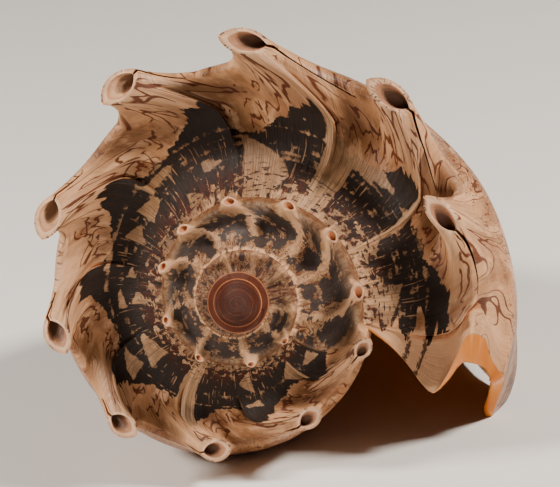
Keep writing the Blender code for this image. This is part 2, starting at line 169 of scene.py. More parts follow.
OLD_SPINE_SIZE = (0.165, 0.115, 0.12)   # mouth's length, width and rise, by shoulder radius

# ---- resting place ----
REST_PITCH = -13.0
REST_ROLL = 4.1
APEX_FROM_CORNER = (52.886, 1.989, 48.113)   # apex from the CAD box's low corner, millimetres

# ---- camera ----
CAMERA_LEAN = 5.5          # degrees to the right of the coiling axis
CAMERA_TILT = 4.6          # degrees above it
VIEW_WIDTH = 140.0         # millimetres across the view at the apex
VIEW_SHIFT = (0.0768, 0.1071)
SENSOR = 36.0              # millimetres

# ---- lights: places to the right, up and towards the camera from the apex, in metres ----
KEY_PLACE = (0.85, 0.80, 0.38)
KEY_SIZE = 0.24
FILL_PLACE = (-1.05, 0.5, 0.26)
FILL_SIZE = 0.35
LIGHT_TONE = (1.0, 0.92, 0.82)
AIR_TONE = (0.92, 0.95, 1.0, 1.0)
AIR_POWER = 0.05
LOWEST_LIGHT = 0.1


def smooth_curve(points):
    """A function through the points with finite-difference slopes (cubic Hermite)."""
    xs, ys = (np.array(v, float) for v in zip(*sorted(points)))
    slopes = np.gradient(ys, xs)

    def value(x):
        x = np.clip(np.asarray(x, float), xs[0], xs[-1])
        i = np.clip(np.searchsorted(xs, x) - 1, 0, len(xs) - 2)
        step = xs[i + 1] - xs[i]
        t = (x - xs[i]) / step
        blend = t * t * (3 - 2 * t)
        bend = t * (1 - t) * step
        turn = (1 - t) * slopes[i] - t * slopes[i + 1]
        return ys[i] * (1 - blend) + ys[i + 1] * blend + bend * turn
    return value


shoulder_radius = smooth_curve(SHOULDER)
shoulder_height = smooth_curve(SHOULDER_DROP)
flank_share = smooth_curve(FLANK)
flank_swell = smooth_curve(SWELL)
swell_depth = smooth_curve(SWELL_DEPTH)
columella_core = smooth_curve(COLUMELLA)
lip_edge = smooth_curve(LIP_EDGE)
lip_bevel = smooth_curve(LIP_BEVEL)
lip_wall = smooth_curve(LIP_WALLS)
notch_arch = smooth_curve(NOTCH_ARCH)
protoconch_dome = smooth_curve(PROTOCONCH_DOME)


def ease(x):
    """Smooth step from 0 to 1."""
    x = np.clip(x, 0.0, 1.0)
    return x * x * (3 - 2 * x)


def bump(x, width):
    """A smooth hump of height 1 round 0."""
    return np.exp(-(np.asarray(x, float) / width) ** 2)


def row_tables():
    """Position of each row: across the ramp, below the shoulder, down the flank, and as a lip row."""
    back = np.arange(CREST, -1, -1, dtype=float)
    slack = (1 - 0.014 * CREST) / CREST ** 2
    ramp = 1 - (0.014 * back + slack * back ** 2)
    ramp[0], ramp[-1] = 0.0, 1.0
    rim = LOW_SHARE * np.arange(1, RIM_COUNT + 1) / RIM_COUNT
    share = (np.arange(1, FLANK_COUNT + 1) / FLANK_COUNT) ** 1.5
    lip_row = np.interp(share, (0.0, 0.06, 0.13, 0.23, 0.34, 0.46, 0.58, 0.7, 0.81, 0.91, 1.0),
                        (1.12, 1.15, 1.244, 1.339, 1.433, 1.528, 1.622, 1.717, 1.811, 1.906, 2.0))
    across = np.concatenate([ramp, np.ones(RIM_COUNT + FLANK_COUNT)])
    below = np.concatenate([np.zeros(CREST + 1), rim, np.full(FLANK_COUNT, LOW_SHARE)])
    flank = np.concatenate([np.zeros(LOW + 1), share])
    lip = np.concatenate([ramp, 1 + rim, lip_row])
    return across, below, flank, lip


ACROSS, BELOW, DOWN, LIP_ROW = row_tables()


SPINE_COLUMNS = [k * STEPS for k in range(len(SPINES) + 1)] + [TURN]
SPINE_AGES = [0.0] + [spine[0] for spine in SPINES] + [360.0]


def column_age(index):
    """Age of a growth column at the shoulder."""
    turns = np.floor_divide(index, TURN)
    return np.interp(index - turns * TURN, SPINE_COLUMNS, SPINE_AGES) + 360.0 * turns


def column_at(age):
    """Growth column whose age at the shoulder is this."""
    turns = math.floor(age / 360.0)
    return np.interp(age - turns * 360.0, SPINE_AGES, SPINE_COLUMNS) + TURN * turns


def column_lag(index):
    """Columns by which a growth line has swept forward when it meets the suture."""
    fading = np.clip((2 * TURN - 1 - index) / (0.7 * TURN), 0.0, 1.0)
    return LAG * fading


def columella_radius(age, height):
    return columella_core(height) + COLUMELLA_SPREAD * np.clip(1 - age / 360.0, 0.0, 1.0)


def flank_radius(age, height):
    """Outer radius of the section of one age at one height below its shoulder."""
    depth = shoulder_height(age) - height
    length = BODY_LENGTH * np.exp(-LENGTH_DECAY * np.radians(np.maximum(age, 0.0)))
    radius = shoulder_radius(age)
    corner = CORNER * radius
    inset = np.clip(1 - depth / corner, 0.0, 1.0)
    swell = 1 + (flank_swell(age) - 1) * ease(depth / length / swell_depth(age))
    body = radius * swell * flank_share(depth / length) - corner * (1 - np.sqrt(1 - inset ** 2))
    out, flare_depth, spread = LIP_FLARE
    body = body + out * bump(depth - flare_depth, spread) * ease((8.0 - age) / 20.0)
    pillar = columella_radius(age, height)
    return 0.5 * (body + pillar + np.sqrt((body - pillar) ** 2 + COLUMELLA_JOIN ** 2))


def suture(age):
    """Radius and height of the seam on which the section of this age begins."""
    older = np.minimum(np.maximum(age, 0.0) + 360.0, LAST_AGE)
    height = shoulder_height(older) - LOW_SHARE * shoulder_radius(older)
    on_dome = age >= LAST_AGE - 360.0
    return (np.where(on_dome, PROTOCONCH_RADIUS, flank_radius(older, height)),
            np.where(on_dome, PROTOCONCH_RIM_Z, height))


def section(age, foot):
    """Radius, height and distance from the shoulder of the plain section, row by row."""
    radius = shoulder_radius(age)
    crest_z = shoulder_height(age)
    seam_r, seam_z = suture(age)
    width = (1 - CORNER) * radius - seam_r
    dip = RAMP_DIP * width * np.sin(math.pi * ACROSS ** 0.85) ** 1.2
    rim = BELOW * radius
    below = rim + DOWN * (crest_z - foot - rim)
    on_flank = np.arange(FOOT + 1) > CREST
    z = np.where(on_flank, crest_z - below, seam_z + (crest_z - seam_z) * ACROSS - dip)
    r = np.where(on_flank, flank_radius(age, z), seam_r + width * ACROSS)
    return r, z, np.where(on_flank, below, (ACROSS - 1) * width)


RIDGES = np.array([STEPS * (k + 1) - spine[7] for k, spine in enumerate(SPINES)], float)


def growth_phase(index):
    """How far growth had come, 0 to 1, from the last ridge before it to the next one."""
    ridges = np.concatenate([RIDGES, RIDGES[:1] + TURN])
    i = np.clip(np.searchsorted(ridges, index, side="right"), 1, len(ridges) - 1)
    newer, older = ridges[i - 1], ridges[i]
    return np.clip((older - index) / (older - newer), 0.0, 1.0)


def fold_relief(index, age, across):
    """Rise of the folds: each former lip stands proud and the next growth starts under it."""
    radius = shoulder_radius(age)
    phase = growth_phase(index)
    newest = index < RIDGES[0]
    phase = np.where(newest, 0.55 * (RIDGES[0] - index) / RIDGES[0], phase)
    rise = phase ** 1.7 - 0.12 * ease((phase - 0.93) / 0.07)
    on_ramp = 0.11 + 0.89 * ease((ACROSS - 0.22) / 0.62)
    on_ramp = on_ramp * (1 - ease((ACROSS - 0.95) / 0.05))
    step = FOLD_HEIGHT * radius * rise * on_ramp
    hollow = np.sin(math.pi * np.clip(phase / 0.75, 0, 1)) ** 2
    scoop = SCOOP_DEPTH * radius * hollow * bump(ACROSS - 0.8, 0.16)
    scoop = scoop * np.where(newest, 0.8 * index / RIDGES[0], 1.0)
    first = np.zeros_like(phase)
    for ridge in RIDGES:
        first = np.maximum(first, bump(index - ridge + 1.0, 0.9) * (index < ridge))
    scoop = scoop + CREVICE * first * ease((ACROSS - 0.35) / 0.3) * (1 - ease((ACROSS - 0.97) / 0.03))
    lobe = np.zeros_like(radius)
    for k, spine in enumerate(SPINES):
        middle = STEPS * (k + 1)
        rising = ease((index - (middle - spine[7] - 7)) / 10.0)
        falling = 1 - ease((index - middle - 4) / 14.0)
        lobe = np.maximum(lobe, rising * falling * spine[3] / 8.0)
    reach = np.where(across < 0, 6.5, 8.0)
    crest = 3.4 * lobe * np.exp(-(across / reach) ** 2)
    fading = ease((400.0 - age) / 60.0)
    lift = (step - scoop + crest) * fading
    ramp_side = np.where(across <= 0, 1.0, np.exp(-across / 5.0))
    outward = 0.9 * lobe * np.exp(-(across / 9.0) ** 2) * fading
    return lift * ramp_side, outward


def rib_strength(index):
    """How near each column and row is to a rib of the earlier whorls, swept in from its spine."""
    strength = np.zeros(np.broadcast_shapes(index.shape, ACROSS.shape))
    for old_age in OLD_SPINES:
        middle = float(column_at(old_age)) - 1 - 5.0 * (1 - ACROSS)
        rib = bump(index - middle, 6.0) * (0.35 + 0.65 * ACROSS)
        strength = np.maximum(strength, rib)
    return strength * (DOWN == 0)


def old_ribs(index, age):
    """Rise of the rounded ribs of the earlier whorls."""
    fading = ease((age - 340.0) / 30.0) * ease((1010.0 - age) / 100.0)
    return RIB_HEIGHT * shoulder_radius(age) * rib_strength(index) * fading


def surface_points(first, last):
    """Points of the outer surface before the spines are drawn out, as columns by rows."""
    index = np.arange(first, last, dtype=float)[:, None]
    sweep = 1 - ACROSS[None, :] ** 3
    age = column_age(index - column_lag(index) * sweep)
    share = np.clip(index / LAG, 0, 1)
    near_lip = lip_edge(LIP_ROW)[None, :] * (1 - share) + column_age(LAG - LAG * sweep) * share
    age = np.where(index < LAG, near_lip, age)
    r, z, across = section(age, FOOT_Z)
    lift, outward = fold_relief(index, age, across)
    flutes = np.sin(index * 1.31) + np.sin(index * 0.83 + 1.0) + 0.6 * np.sin(index * 2.17)
    flutes = 0.16 * flutes * bump(ACROSS - 0.03, 0.045) * (1 - DOWN) * (BELOW == 0)
    z = z + lift + old_ribs(index, age) + flutes * (age < 350) * np.clip(index / 30.0, 0, 1)
    between = (1 - rib_strength(index)) * ease((ACROSS - 0.5) / 0.4) * (1 - BELOW / LOW_SHARE)
    r = r - SCALLOP * shoulder_radius(age) * between * ease((age - 350.0) / 30.0) * (age < 1010)
    wave = 0.35 * np.sin(np.radians(age) * 5.3 + 3.0 * ACROSS)
    wave = wave + 0.25 * np.sin(np.radians(age) * 11.1 + 1.0)
    r = r + outward + wave * np.clip(DOWN * 3, 0, 1) * (age < 360)
    bearing = np.radians(age + LIP_BEARING)
    return np.stack([r * np.cos(bearing), r * np.sin(bearing), z], axis=-1), age, across


def frame_at(bearing):
    """Unit vectors back along the growth, outwards and up at one bearing."""
    turn = math.radians(bearing)
    back = np.array((-math.sin(turn), math.cos(turn), 0.0))
    out = np.array((math.cos(turn), math.sin(turn), 0.0))
    return back, out, np.array((0.0, 0.0, 1.0))


def rim_point(middle, axes, size, angle, scale=1.0):
    """A point of the pointed oval round a spine's mouth."""
    long_axis, short_axis, up = axes
    x, y = math.cos(angle), math.sin(angle)
    leaf = y * abs(y) ** 0.5 * (1.0 + 0.06 * x)
    along = long_axis * (size[0] / 2 * x * scale)
    side = short_axis * (size[1] / 2 * leaf * scale)
    lift = 0.10 * size[0] * max(x, 0.0) ** 2 - 0.16 * size[0] * max(-x, 0.0) ** 2 - 0.06 * size[1] * y
    return middle + along + side + up * (lift * scale)


def draw_spine(points, zones, column, spine, reach, rim_ring, stride):
    """Draw one hollow spine out of the surface, ring by ring round its middle."""
    mouth_age, radius, rise, length, width, inward = spine
    back, out, up = frame_at(mouth_age + LIP_BEARING)
    turn = math.radians(inward)
    axes = (back * math.cos(turn) - out * math.sin(turn),
            out * math.cos(turn) + back * math.sin(turn), up)
    crest_z = float(shoulder_height(mouth_age))
    middle = out * radius + up * (crest_z + rise)
    inner = 1 - 2 * min(RIM_WALL, 0.24 * width) / width
    throat = up * -0.62 - back * 0.78
    throat = throat * (THROAT_DEPTH * length / 10.0)
    moved = {}
    rows = range(CREST - reach * stride, CREST + reach * stride + 1, stride)
    for row in rows:
        for di in range(-reach * stride, reach * stride + 1):
            i = column + di
            if i <= 0:
                continue
            dj = (row - CREST) / stride
            ring = max(abs(di) / stride, abs(dj))
            angle = math.atan2(dj, di / stride)
            base = points[i, row]
            if ring >= rim_ring:
                t = (reach - ring) / (reach - rim_ring)
                pull = t ** SPINE_FLARE
                target = rim_point(middle, axes, (length, width), angle)
                moved[i, row] = base * (1 - pull) + target * pull, 0.0, t
                continue
            depth = (rim_ring - ring) / rim_ring
            lip = min(1.0, depth * rim_ring / 1.6)
            scale = 1 + (inner - 1) * lip
            deep = max(0.0, (depth * rim_ring - 1.0) / (rim_ring - 1.0))
            scale = scale * (1 - deep ** 1.5)
            point = rim_point(middle, axes, (length, width), angle, scale)
            moved[i, row] = point + throat * deep ** 0.8 + up * 0.25 * (lip - lip * lip) * 4, \
                0.35 + 0.65 * ease(deep * 3), 1.0
    for (i, row), (point, mouth, pull) in moved.items():
        points[i, row] = point
        zones[i, row, 0] = max(zones[i, row, 0], mouth)
        zones[i, row, 1] = max(zones[i, row, 1], pull)


def cut_slit(points, zones, column, spine):
    """The closed slit in which the two lobes meet, from the mouth forward along the shoulder."""
    start = column - SPINE_RIM + 3
    for i in range(start, start - spine[8], -1):
        along = (start - i) / spine[8]
        opening = ease((start - i + 1) / 4.0)
        depth = opening * SLIT_DEPTH * (1 - along ** 2.5) * (0.45 + 0.05 * spine[4])
        half = SLIT_HALF * (1 - 0.6 * along) * (0.4 + 0.05 * spine[4])
        middle = points[i, CREST].copy()
        for side in (-1, 1):
            for step in (1, 2):
                away = points[i, CREST + side * step] - middle
                length = np.linalg.norm(away)
                wanted = half if step == 1 else max(0.75, 0.5 * length)
                wanted = length + (wanted - length) * opening
                points[i, CREST + side * step] = middle + away * (wanted / max(length, 1e-6))
                points[i, CREST + side * step, 2] += 0.25 * (1 - 0.4 * along)
        points[i, CREST, 2] -= depth
        zones[i, CREST, 2] = 1.0


def drift_rows(points, column, length, drift):
    """Slides the rows by the shoulder inwards along the surface, for a slit that drifts so."""
    rows = np.arange(FOOT + 1, dtype=float)
    window = ease(1 - (CREST - rows) / DRIFT_ROWS[0]) * ease(1 - (rows - CREST) / DRIFT_ROWS[1])
    for i in range(column - length - DRIFT_FADE, column):
        share = ease(0.15 + 0.85 * (column - i) / length)
        share = share * ease((i - column + length + DRIFT_FADE) / DRIFT_FADE)
        places = rows - drift * share * window
        for axis in range(3):
            points[i, :, axis] = np.interp(places, rows, points[i, :, axis])


def raise_notch(points, age, across):
    """The half-made spine over the notch of the present lip."""
    length, rise = NOTCH_SPINE
    along = np.radians(age) * float(shoulder_radius(0.0))
    span = np.hypot(along / (1.15 * length), across / (0.95 * length))
    wall = ease((1 - span) / 0.5)
    bearing = np.radians(age + LIP_BEARING)
    slide = 0.55 * length * wall ** 1.6 - 0.15 * along * wall
    shift = -0.22 * across * wall
    points[..., 0] += -np.sin(bearing) * slide + np.cos(bearing) * shift
    points[..., 1] += np.cos(bearing) * slide + np.sin(bearing) * shift
    points[..., 2] += rise * wall


def shell_surface():
    """Every column and row of the three whorls with spines, and the zones of the surface."""
    points, age, across = surface_points(0, 3 * TURN)
    zones = np.zeros(points.shape[:2] + (4,))   # mouth, spine, slit, interior
    raise_notch(points[:STEPS], age[:STEPS], across[:STEPS])
    for k, spine in enumerate(SPINES):
        column = STEPS * (k + 1) - SPINE_FORWARD
        draw_spine(points, zones, column, spine[1:7], SPINE_REACH, SPINE_RIM, 1)
        drift_rows(points, column - SPINE_RIM + 3, spine[8], SLIT_DRIFT.get(k, 0.0))
        cut_slit(points, zones, column, spine)
    index = np.arange(3 * TURN, dtype=float)[:, None]
    zones[:, :, 1] = np.maximum(zones[:, :, 1], rib_strength(index) * (index > 0.93 * TURN))
    for old_age in OLD_SPINES:
        radius = float(shoulder_radius(old_age))
        column = int(round(float(column_at(old_age))))
        if column < 2 * TURN - 8:
            length, width, rise = (radius * share for share in OLD_SPINE_SIZE)
            draw_spine(points, zones, column, (old_age, radius + 0.2, rise, length, width, 0), 6, 3, 2)
        else:
            around = np.hypot((np.arange(3 * TURN) - column)[:, None] / 9.0,
                              (np.arange(FOOT + 1) - CREST)[None, :] / 9.0)
            points[:, :, 2] += 0.07 * radius * bump(around, 1.0)
            zones[:, :, 1] = np.maximum(zones[:, :, 1], bump(around, 1.0))
    return points, zones


class ShellMesh:
    """Places, growth coordinates and zones of the shell's vertices, and its faces.

    A vertex may stand for another one at the same place: along the suture the next whorl
    has growth coordinates of its own there, but shares the vertex.
    """

    def __init__(self):
        self.points, self.growth, self.zones, self.same_as = [], [], [], []
        self.faces = []

    def add(self, point, growth, zones=(0.0, 0.0, 0.0, 0.0), same_as=None):
        number = len(self.points)
        self.points.append(tuple(point))
        self.growth.append(tuple(growth))
        self.zones.append(tuple(zones))
        self.same_as.append(number if same_as is None else self.same_as[same_as])
        return number

    def again(self, vertex, growth, zones=(0.0, 0.0, 0.0, 0.0)):
        """The same vertex, seen from another part of the growth."""
        return self.add(self.points[vertex], growth, zones, vertex)

    def face(self, *corners):
        kept = []
        for corner in corners:
            if all(self.same_as[corner] != self.same_as[other] for other in kept):
                kept.append(corner)
        if len(kept) > 2:
            self.faces.append(tuple(kept))

    def strip(self, first, second):
        """Faces between two equally long lines of vertices."""
        for a, b, c, d in zip(first[:-1], first[1:], second[1:], second[:-1]):
            self.face(a, b, c, d)

    def join(self, newer, older):
        """Faces between two columns, given as vertices by row, that may keep different rows."""
        a, b = sorted(newer), sorted(older)
        i = j = 0
        while i < len(a) - 1 or j < len(b) - 1:
            next_a = a[i + 1] if i < len(a) - 1 else math.inf
            next_b = b[j + 1] if j < len(b) - 1 else math.inf
            if next_a == next_b:
                self.face(newer[a[i]], newer[next_a], older[next_b], older[b[j]])
                i, j = i + 1, j + 1
            elif next_a < next_b:
                self.face(newer[a[i]], newer[next_a], older[b[j]])
                i += 1
            else:
                self.face(newer[a[i]], older[next_b], older[b[j]])
                j += 1


ROW_PLACE = 8.0 * ACROSS + 16.5 * BELOW + 38.0 * DOWN    # growth coordinate of each row
COLUMN_PLACE = 8.0 / STEPS                               # and of a column


def build_whorls(mesh, points, zones):
    """The outer surface of the three whorls; returns its columns, as vertices by row."""
    columns = []
    for i in range(3 * TURN):
        stride = 1 if i == TURN else WHORL_STRIDES[i // TURN]
        last = FOOT if i <= TURN else LOW
        columns.append({row: mesh.add(points[i, row], (i * COLUMN_PLACE, ROW_PLACE[row]), zones[i, row])
                        for row in range(stride, last + 1, stride)})
    return columns


def join_whorls(mesh, columns, ring):
    """Faces of the whorls. Each newer one starts on row LOW of the one before it."""
    seam = [columns[i][LOW] for i in range(3 * TURN)] + ring + ring[:1]
    sources = [max(TURN, i + TURN - int(round(float(column_lag(i))))) for i in range(3 * TURN + 1)]
    starts = [mesh.again(seam[source], (i * COLUMN_PLACE, 0.0)) for i, source in enumerate(sources)]
    columns.append({row: ring[0] for row in range(4, LOW + 1, 4)})
    for i in range(3 * TURN):
        last = FOOT if i < TURN else LOW
        newer = {row: vertex for row, vertex in columns[i].items() if row <= last}
        older = {row: vertex for row, vertex in columns[i + 1].items() if row <= last}
        mesh.join(newer, older)
        between = sources[i + 1] - sources[i]
        edge = [starts[i]]
        for k in range(1, between):
            place = ((i + k / between) * COLUMN_PLACE, 0.0)
            edge.append(mesh.again(seam[sources[i] + k], place))
        edge.append(starts[i + 1])
        first, second = newer[min(newer)], older[min(older)]
        mesh.face(edge[0], first, second, edge[1])
        for a, b in zip(edge[1:-1], edge[2:]):
            mesh.face(a, second, b)


def build_protoconch(mesh):
    """The domed first whorls, with the groove of their own small spiral."""
    places = column_age(np.arange(TURN)) + LIP_BEARING
    lines = []
    for number, share in enumerate(np.linspace(1.0, 0.03, PROTOCONCH_RINGS)):
        step = 1 if number < 2 else 3
        line = {}
        for i in range(0, TURN, step):
            radius = PROTOCONCH_RADIUS * share
            turns = radius / PROTOCONCH_PITCH + places[i] / 360.0
            groove = float(bump((turns + 0.2) % 1.0 - 0.5, 0.11)) * float(ease((1.0 - share) / 0.06))
            z = PROTOCONCH_RIM_Z + float(protoconch_dome(share)) - 0.11 * groove
            turn = math.radians(places[i])
            line[i] = mesh.add((radius * math.cos(turn), radius * math.sin(turn), z),
                               ((3 * TURN + i) * COLUMN_PLACE, -8.0 * share), (0.0, groove, 0.0, 0.0))
        line[TURN] = line[0]
        lines.append(line)
    tip = mesh.add((0.0, 0.0, PROTOCONCH_RIM_Z + float(protoconch_dome(0.0))), (0.0, 0.0))
    lines.append({i: tip for i in lines[-1]})
    for outer, inner in zip(lines[:-1], lines[1:]):
        mesh.join(inner, outer)
    return [lines[0][i] for i in range(TURN)]


def notch_height(age, share):
    """Height of the siphonal end across its width; it is notched where the canal opens."""
    fading = math.exp(-max(age, 0.0) / NOTCH_FADE)
    return FOOT_Z + NOTCH_RISE * fading * math.sin(math.pi * share)


def build_foot(mesh, columns):
    """The siphonal end, from the ring of column ends in to the columella."""
    end = columns[TURN][FOOT]
    end_radius = math.hypot(*mesh.points[end][:2])
    lines = []
    for i in range(TURN + 1):
        x, y, _ = mesh.points[columns[i][FOOT]]
        start_radius, turn = math.hypot(x, y), math.atan2(y, x)
        age = float(column_age(i))
        line = [columns[i][FOOT]]
        for k in range(1, FOOT_ROWS + 1):
            share = k / FOOT_ROWS
            if i == TURN or (k == FOOT_ROWS and i == 0):
                line.append(end)
                continue
            if k == FOOT_ROWS:
                turn = math.radians(age + LIP_BEARING)
            radius = start_radius + (end_radius - start_radius) * share
            place = (radius * math.cos(turn), radius * math.sin(turn), notch_height(age, share))
            line.append(mesh.add(place, (i * COLUMN_PLACE, ROW_PLACE[FOOT] + 4.0 * share)))
        lines.append(line)
    for first, second in zip(lines[:-1], lines[1:]):
        mesh.strip(first, second)
    ring = [line[-1] for line in lines]
    centre = mesh.add((0.0, 0.0, FOOT_Z - 0.5), (0.0, ROW_PLACE[FOOT] + 6.0))
    mesh.strip([centre] * len(ring), ring)
    return lines[0]


def cavity_floor(age):
    """Height of the floor of the hollow: as low as it stays wide enough."""
    for height in np.arange(FOOT_Z + FLOOR_WALL, HOLLOW_TOP, 1.0):
        outer = float(flank_radius(age, height)) - WALL
        inner = float(flank_radius(age + 360.0, height)) + CALLUS
        if outer - inner > CAVITY_GAP:
            return height
    return HOLLOW_TOP


def inset_section(age, foot, wall):
    """The plain section moved inwards by the wall thickness."""
    r, z, _ = section(age, foot)
    slope_r, slope_z = np.gradient(r), np.gradient(z)
    length = np.maximum(np.hypot(slope_r, slope_z), 1e-6)
    return r + wall * slope_z / length, z - wall * slope_r / length


def columella_folds(age, height):
    """Rise of the columella's slanting folds above its surface."""
    total = sum(rise * bump(height - fold_z - FOLD_PITCH * age, FOLD_WIDTH)
                for fold_z, rise in COLUMELLA_FOLDS)
    return total * min(1.0, age / 4.0)


def cavity_line(depth):
    """One loop of the hollow: down its outer wall, over its floor and up the columella."""
    open_share = max(0.0, 1 - depth / 30.0)
    fullness = ease(depth / 60.0)
    age = depth + (lip_edge(LIP_ROW) + lip_bevel(LIP_ROW)) * open_share
    wall = lip_wall(LIP_ROW) * (1 - fullness) + WALL * fullness
    floor = cavity_floor(depth) if depth > 1 else FOOT_Z + 1.0
    r, z = inset_section(age, floor, wall)
    arch = notch_arch(LIP_ROW) * math.exp(-depth / 9.0)
    r, z = r + ARCH_OUT * arch, z - ARCH_DOWN * arch
    r = np.maximum(r, flank_radius(age + 360.0, z) + CALLUS + 0.4)
    z[-1] = floor
    outer = [(r[j], age[j], z[j]) for j in range(1, FOOT + 1)]
    top = float(suture(np.array(depth))[1]) - 1.2 * WALL * (0.3 + 0.7 * float(fullness))
    inner = []
    for j in range(FOOT, LOW - 1, -1):
        height = top + (floor - top) * DOWN[j]
        radius = float(flank_radius(depth + 360.0, height)) + CALLUS * min(1.0, depth)
        inner.append((radius + float(columella_folds(depth, height)), depth, height))
    across = []
    for k in range(1, FOOT_ROWS):
        share = k / FOOT_ROWS
        radius, age_here = (outer[-1][n] * (1 - share) + inner[0][n] * share for n in (0, 1))
        across.append((radius, age_here, notch_height(depth, share) - FOOT_Z + floor))
    line = np.array(outer + across + inner)
    turn = np.radians(line[:, 1] + LIP_BEARING)
    return np.stack([line[:, 0] * np.cos(turn), line[:, 0] * np.sin(turn), line[:, 2]], axis=-1)


def build_cavity(mesh, columns, foot_line):
    """The rounded lip and the hollow of the last whorl, to its closed inner end."""
    lip = [columns[0][row] for row in range(1, FOOT + 1)]
    parietal = [columns[TURN][row] for row in range(FOOT, LOW - 1, -1)]
    start = lip + foot_line[1:-1] + parietal
    rows = [ROW_PLACE[row] for row in range(1, FOOT + 1)]
    rows += [ROW_PLACE[FOOT] + 4.0 * k / FOOT_ROWS for k in range(1, FOOT_ROWS)]
    rows += [ROW_PLACE[row] for row in range(FOOT, LOW - 1, -1)]
    edge = np.array([mesh.points[v] for v in start])
    first = cavity_line(FIRST_DEPTH)
    forward = np.stack([edge[:, 1], -edge[:, 0], 0 * edge[:, 0]], axis=-1)
    forward /= np.maximum(np.linalg.norm(forward, axis=1), 1e-6)[:, None]
    on_lip = np.array([1.0] * len(lip) + [0.0] * (len(start) - len(lip)))[:, None]
    loops = []
    for t in LIP_ROUNDING:
        blend = 0.5 - 0.5 * math.cos(math.pi * t)
        bulge = LIP_ROUND * math.sin(math.pi * t) * on_lip
        loops.append((edge + (first - edge) * blend + forward * bulge, 0.0, float(ease(t / 0.2))))
    loops += [(cavity_line(depth), depth, 1.0) for depth in (FIRST_DEPTH,) + CAVITY_DEPTHS]
    previous = [mesh.again(v, (0.0, row), mesh.zones[v]) for v, row in zip(start, rows)]
    for points, depth, inside in loops:
        line = [mesh.add(p, (-depth * COLUMN_PLACE, row), (0.0, 0.0, 0.0, inside))
                for p, row in zip(points, rows)]
        mesh.strip(previous + previous[:1], line + line[:1])
        previous = line
    last_place = loops[-1][0].mean(axis=0)
    end = mesh.add(last_place, (HOLLOW_END * COLUMN_PLACE, 0.0), (0.0, 0.0, 0.0, 1.0))
    mesh.strip(previous + previous[:1], [end] * (len(previous) + 1))


# ---- markings, in growth coordinates: columns by eight to a spine, rows as shares of the ramp ----
BAND_EDGE = ((0.0, 0.60), (0.15, 0.565), (0.35, 0.575), (0.55, 0.64), (0.8, 0.745), (1.0, 0.76))
# cream windows in the dark band: older side, newer side, low and high row
WINDOWS = ((81.4, 79.3, 0.34, 0.53), (78.3, 76.4, 0.2, 0.62), (72.3, 70.2, 0.5, 0.58),
           (72.1, 70.3, 0.1, 0.4), (57.5, 55.2, 0.47, 0.67), (58.4, 54.8, 0.2, 0.45),
           (51.5, 49.0, 0.39, 0.48), (51.3, 49.6, 0.17, 0.34), (49.4, 48.0, 0.53, 0.58),
           (48.1, 46.7, 0.27, 0.37), (47.2, 43.4, 0.53, 0.58), (44.0, 42.2, 0.25, 0.46),
           (41.3, 38.9, 0.25, 0.45), (39.3, 35.7, 0.42, 0.52), (36.6, 34.5, 0.04, 0.2),
           (33.8, 31.5, 0.26, 0.36), (29.2, 24.5, -0.1, 0.48), (19.9, 15.4, 0.47, 0.66),
           (13.5, 11.8, 0.09, 0.27), (8.2, 4.2, 0.05, 0.35))
# cream bands that run up a ridge: older side, newer side
BANDS = ((64.6, 62.4), (22.4, 19.9), (13.6, 13.0))
MARKED_END = 82.5          # growth coordinate at which the last whorl's markings end
WHORL_LENGTH = 82.0        # growth coordinates of one whorl


def band_edge(index):
    """Row at which the dark band of the ramp ends and the cream of the folds begins."""
    phase = growth_phase(index)
    edge = smooth_curve(BAND_EDGE)(phase)
    third = (index > RIDGES[2]) & (index < RIDGES[3])
    edge = edge - 0.06 * third * (1 - ease((phase - 0.3) / 0.25))
    newest = 0.62 - 0.25 * ease((2.5 / COLUMN_PLACE - index) / 8.0)
    return np.where(index < RIDGES[0], newest, edge)


def markings(growth):
    """Per vertex: depth below the dark band's edge, cream windows, painted shade in the scoops, growth
    phase.
    """
    u, v = growth[:, 0], growth[:, 1]
    index, row = u / COLUMN_PLACE, v / 8.0
    last_whorl = (u >= 0) & (u < MARKED_END)
    edge = band_edge(np.where(last_whorl, index, 100.0)) - row
    window = np.full(len(u), -2.0)
    for older, newer, low, high in WINDOWS:
        along = np.clip((u - newer) / (older - newer), 0, 1.3)
        half = 0.5 * (high - low) * along ** 0.7
        inside = np.minimum((older - u) * 1.0, 8.0 * (half - np.abs(row - 0.5 * (low + high))))
        window = np.maximum(window, np.where(last_whorl, inside, -2.0))
    for older, newer in BANDS:
        inside = np.minimum(older - u, u - newer)
        window = np.maximum(window, np.where(last_whorl & (row < 0.8), inside, -2.0))
    phase = growth_phase(index)
    scooped = ease((row - 0.45) / 0.2) * (1 - 0.8 * ease((row - 0.84) / 0.12))
    # painted shade in the scoop behind each former lip, on the rows below the crest
    scoop = np.where(last_whorl, bump(phase - 0.12, 0.16) * scooped, 0.0)
    return edge, window, scoop, phase * last_whorl


def shell_arrays(mesh, to_world):
    """Real vertices in the resting pose, faces on them, and the corners' own numbers."""
    real = sorted(set(mesh.same_as))
    renumber = {old: new for new, old in enumerate(real)}
    places = [tuple(to_world @ Vector(mesh.points[k])) for k in real]
    places = [(x, y, max(z, 0.0)) for x, y, z in places]
    faces = [tuple(renumber[mesh.same_as[v]] for v in face) for face in mesh.faces]
    corners = np.concatenate([np.array(face) for face in mesh.faces])
    return places, faces, corners


def corner_colours(data, name, corners, values):
    layer = data.color_attributes.new(name, 'FLOAT_COLOR', 'CORNER')
    layer.data.foreach_set("color", values[corners].astype(np.float32).ravel())


def growth_to_world():
    """Lays the growth frame down: apex end raised, lip side lowered, apex where the CAD has it."""
    low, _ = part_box("shell")
    apex = Vector(low) + Vector(APEX_FROM_CORNER) * MM
    turn = (Matrix.Rotation(math.radians(REST_PITCH), 4, 'X')
            @ Matrix.Rotation(math.radians(REST_ROLL), 4, 'Y')
            @ Matrix.Rotation(math.radians(90), 4, 'X'))
    return Matrix.Translation(apex) @ Matrix.Scale(MM, 4) @ turn


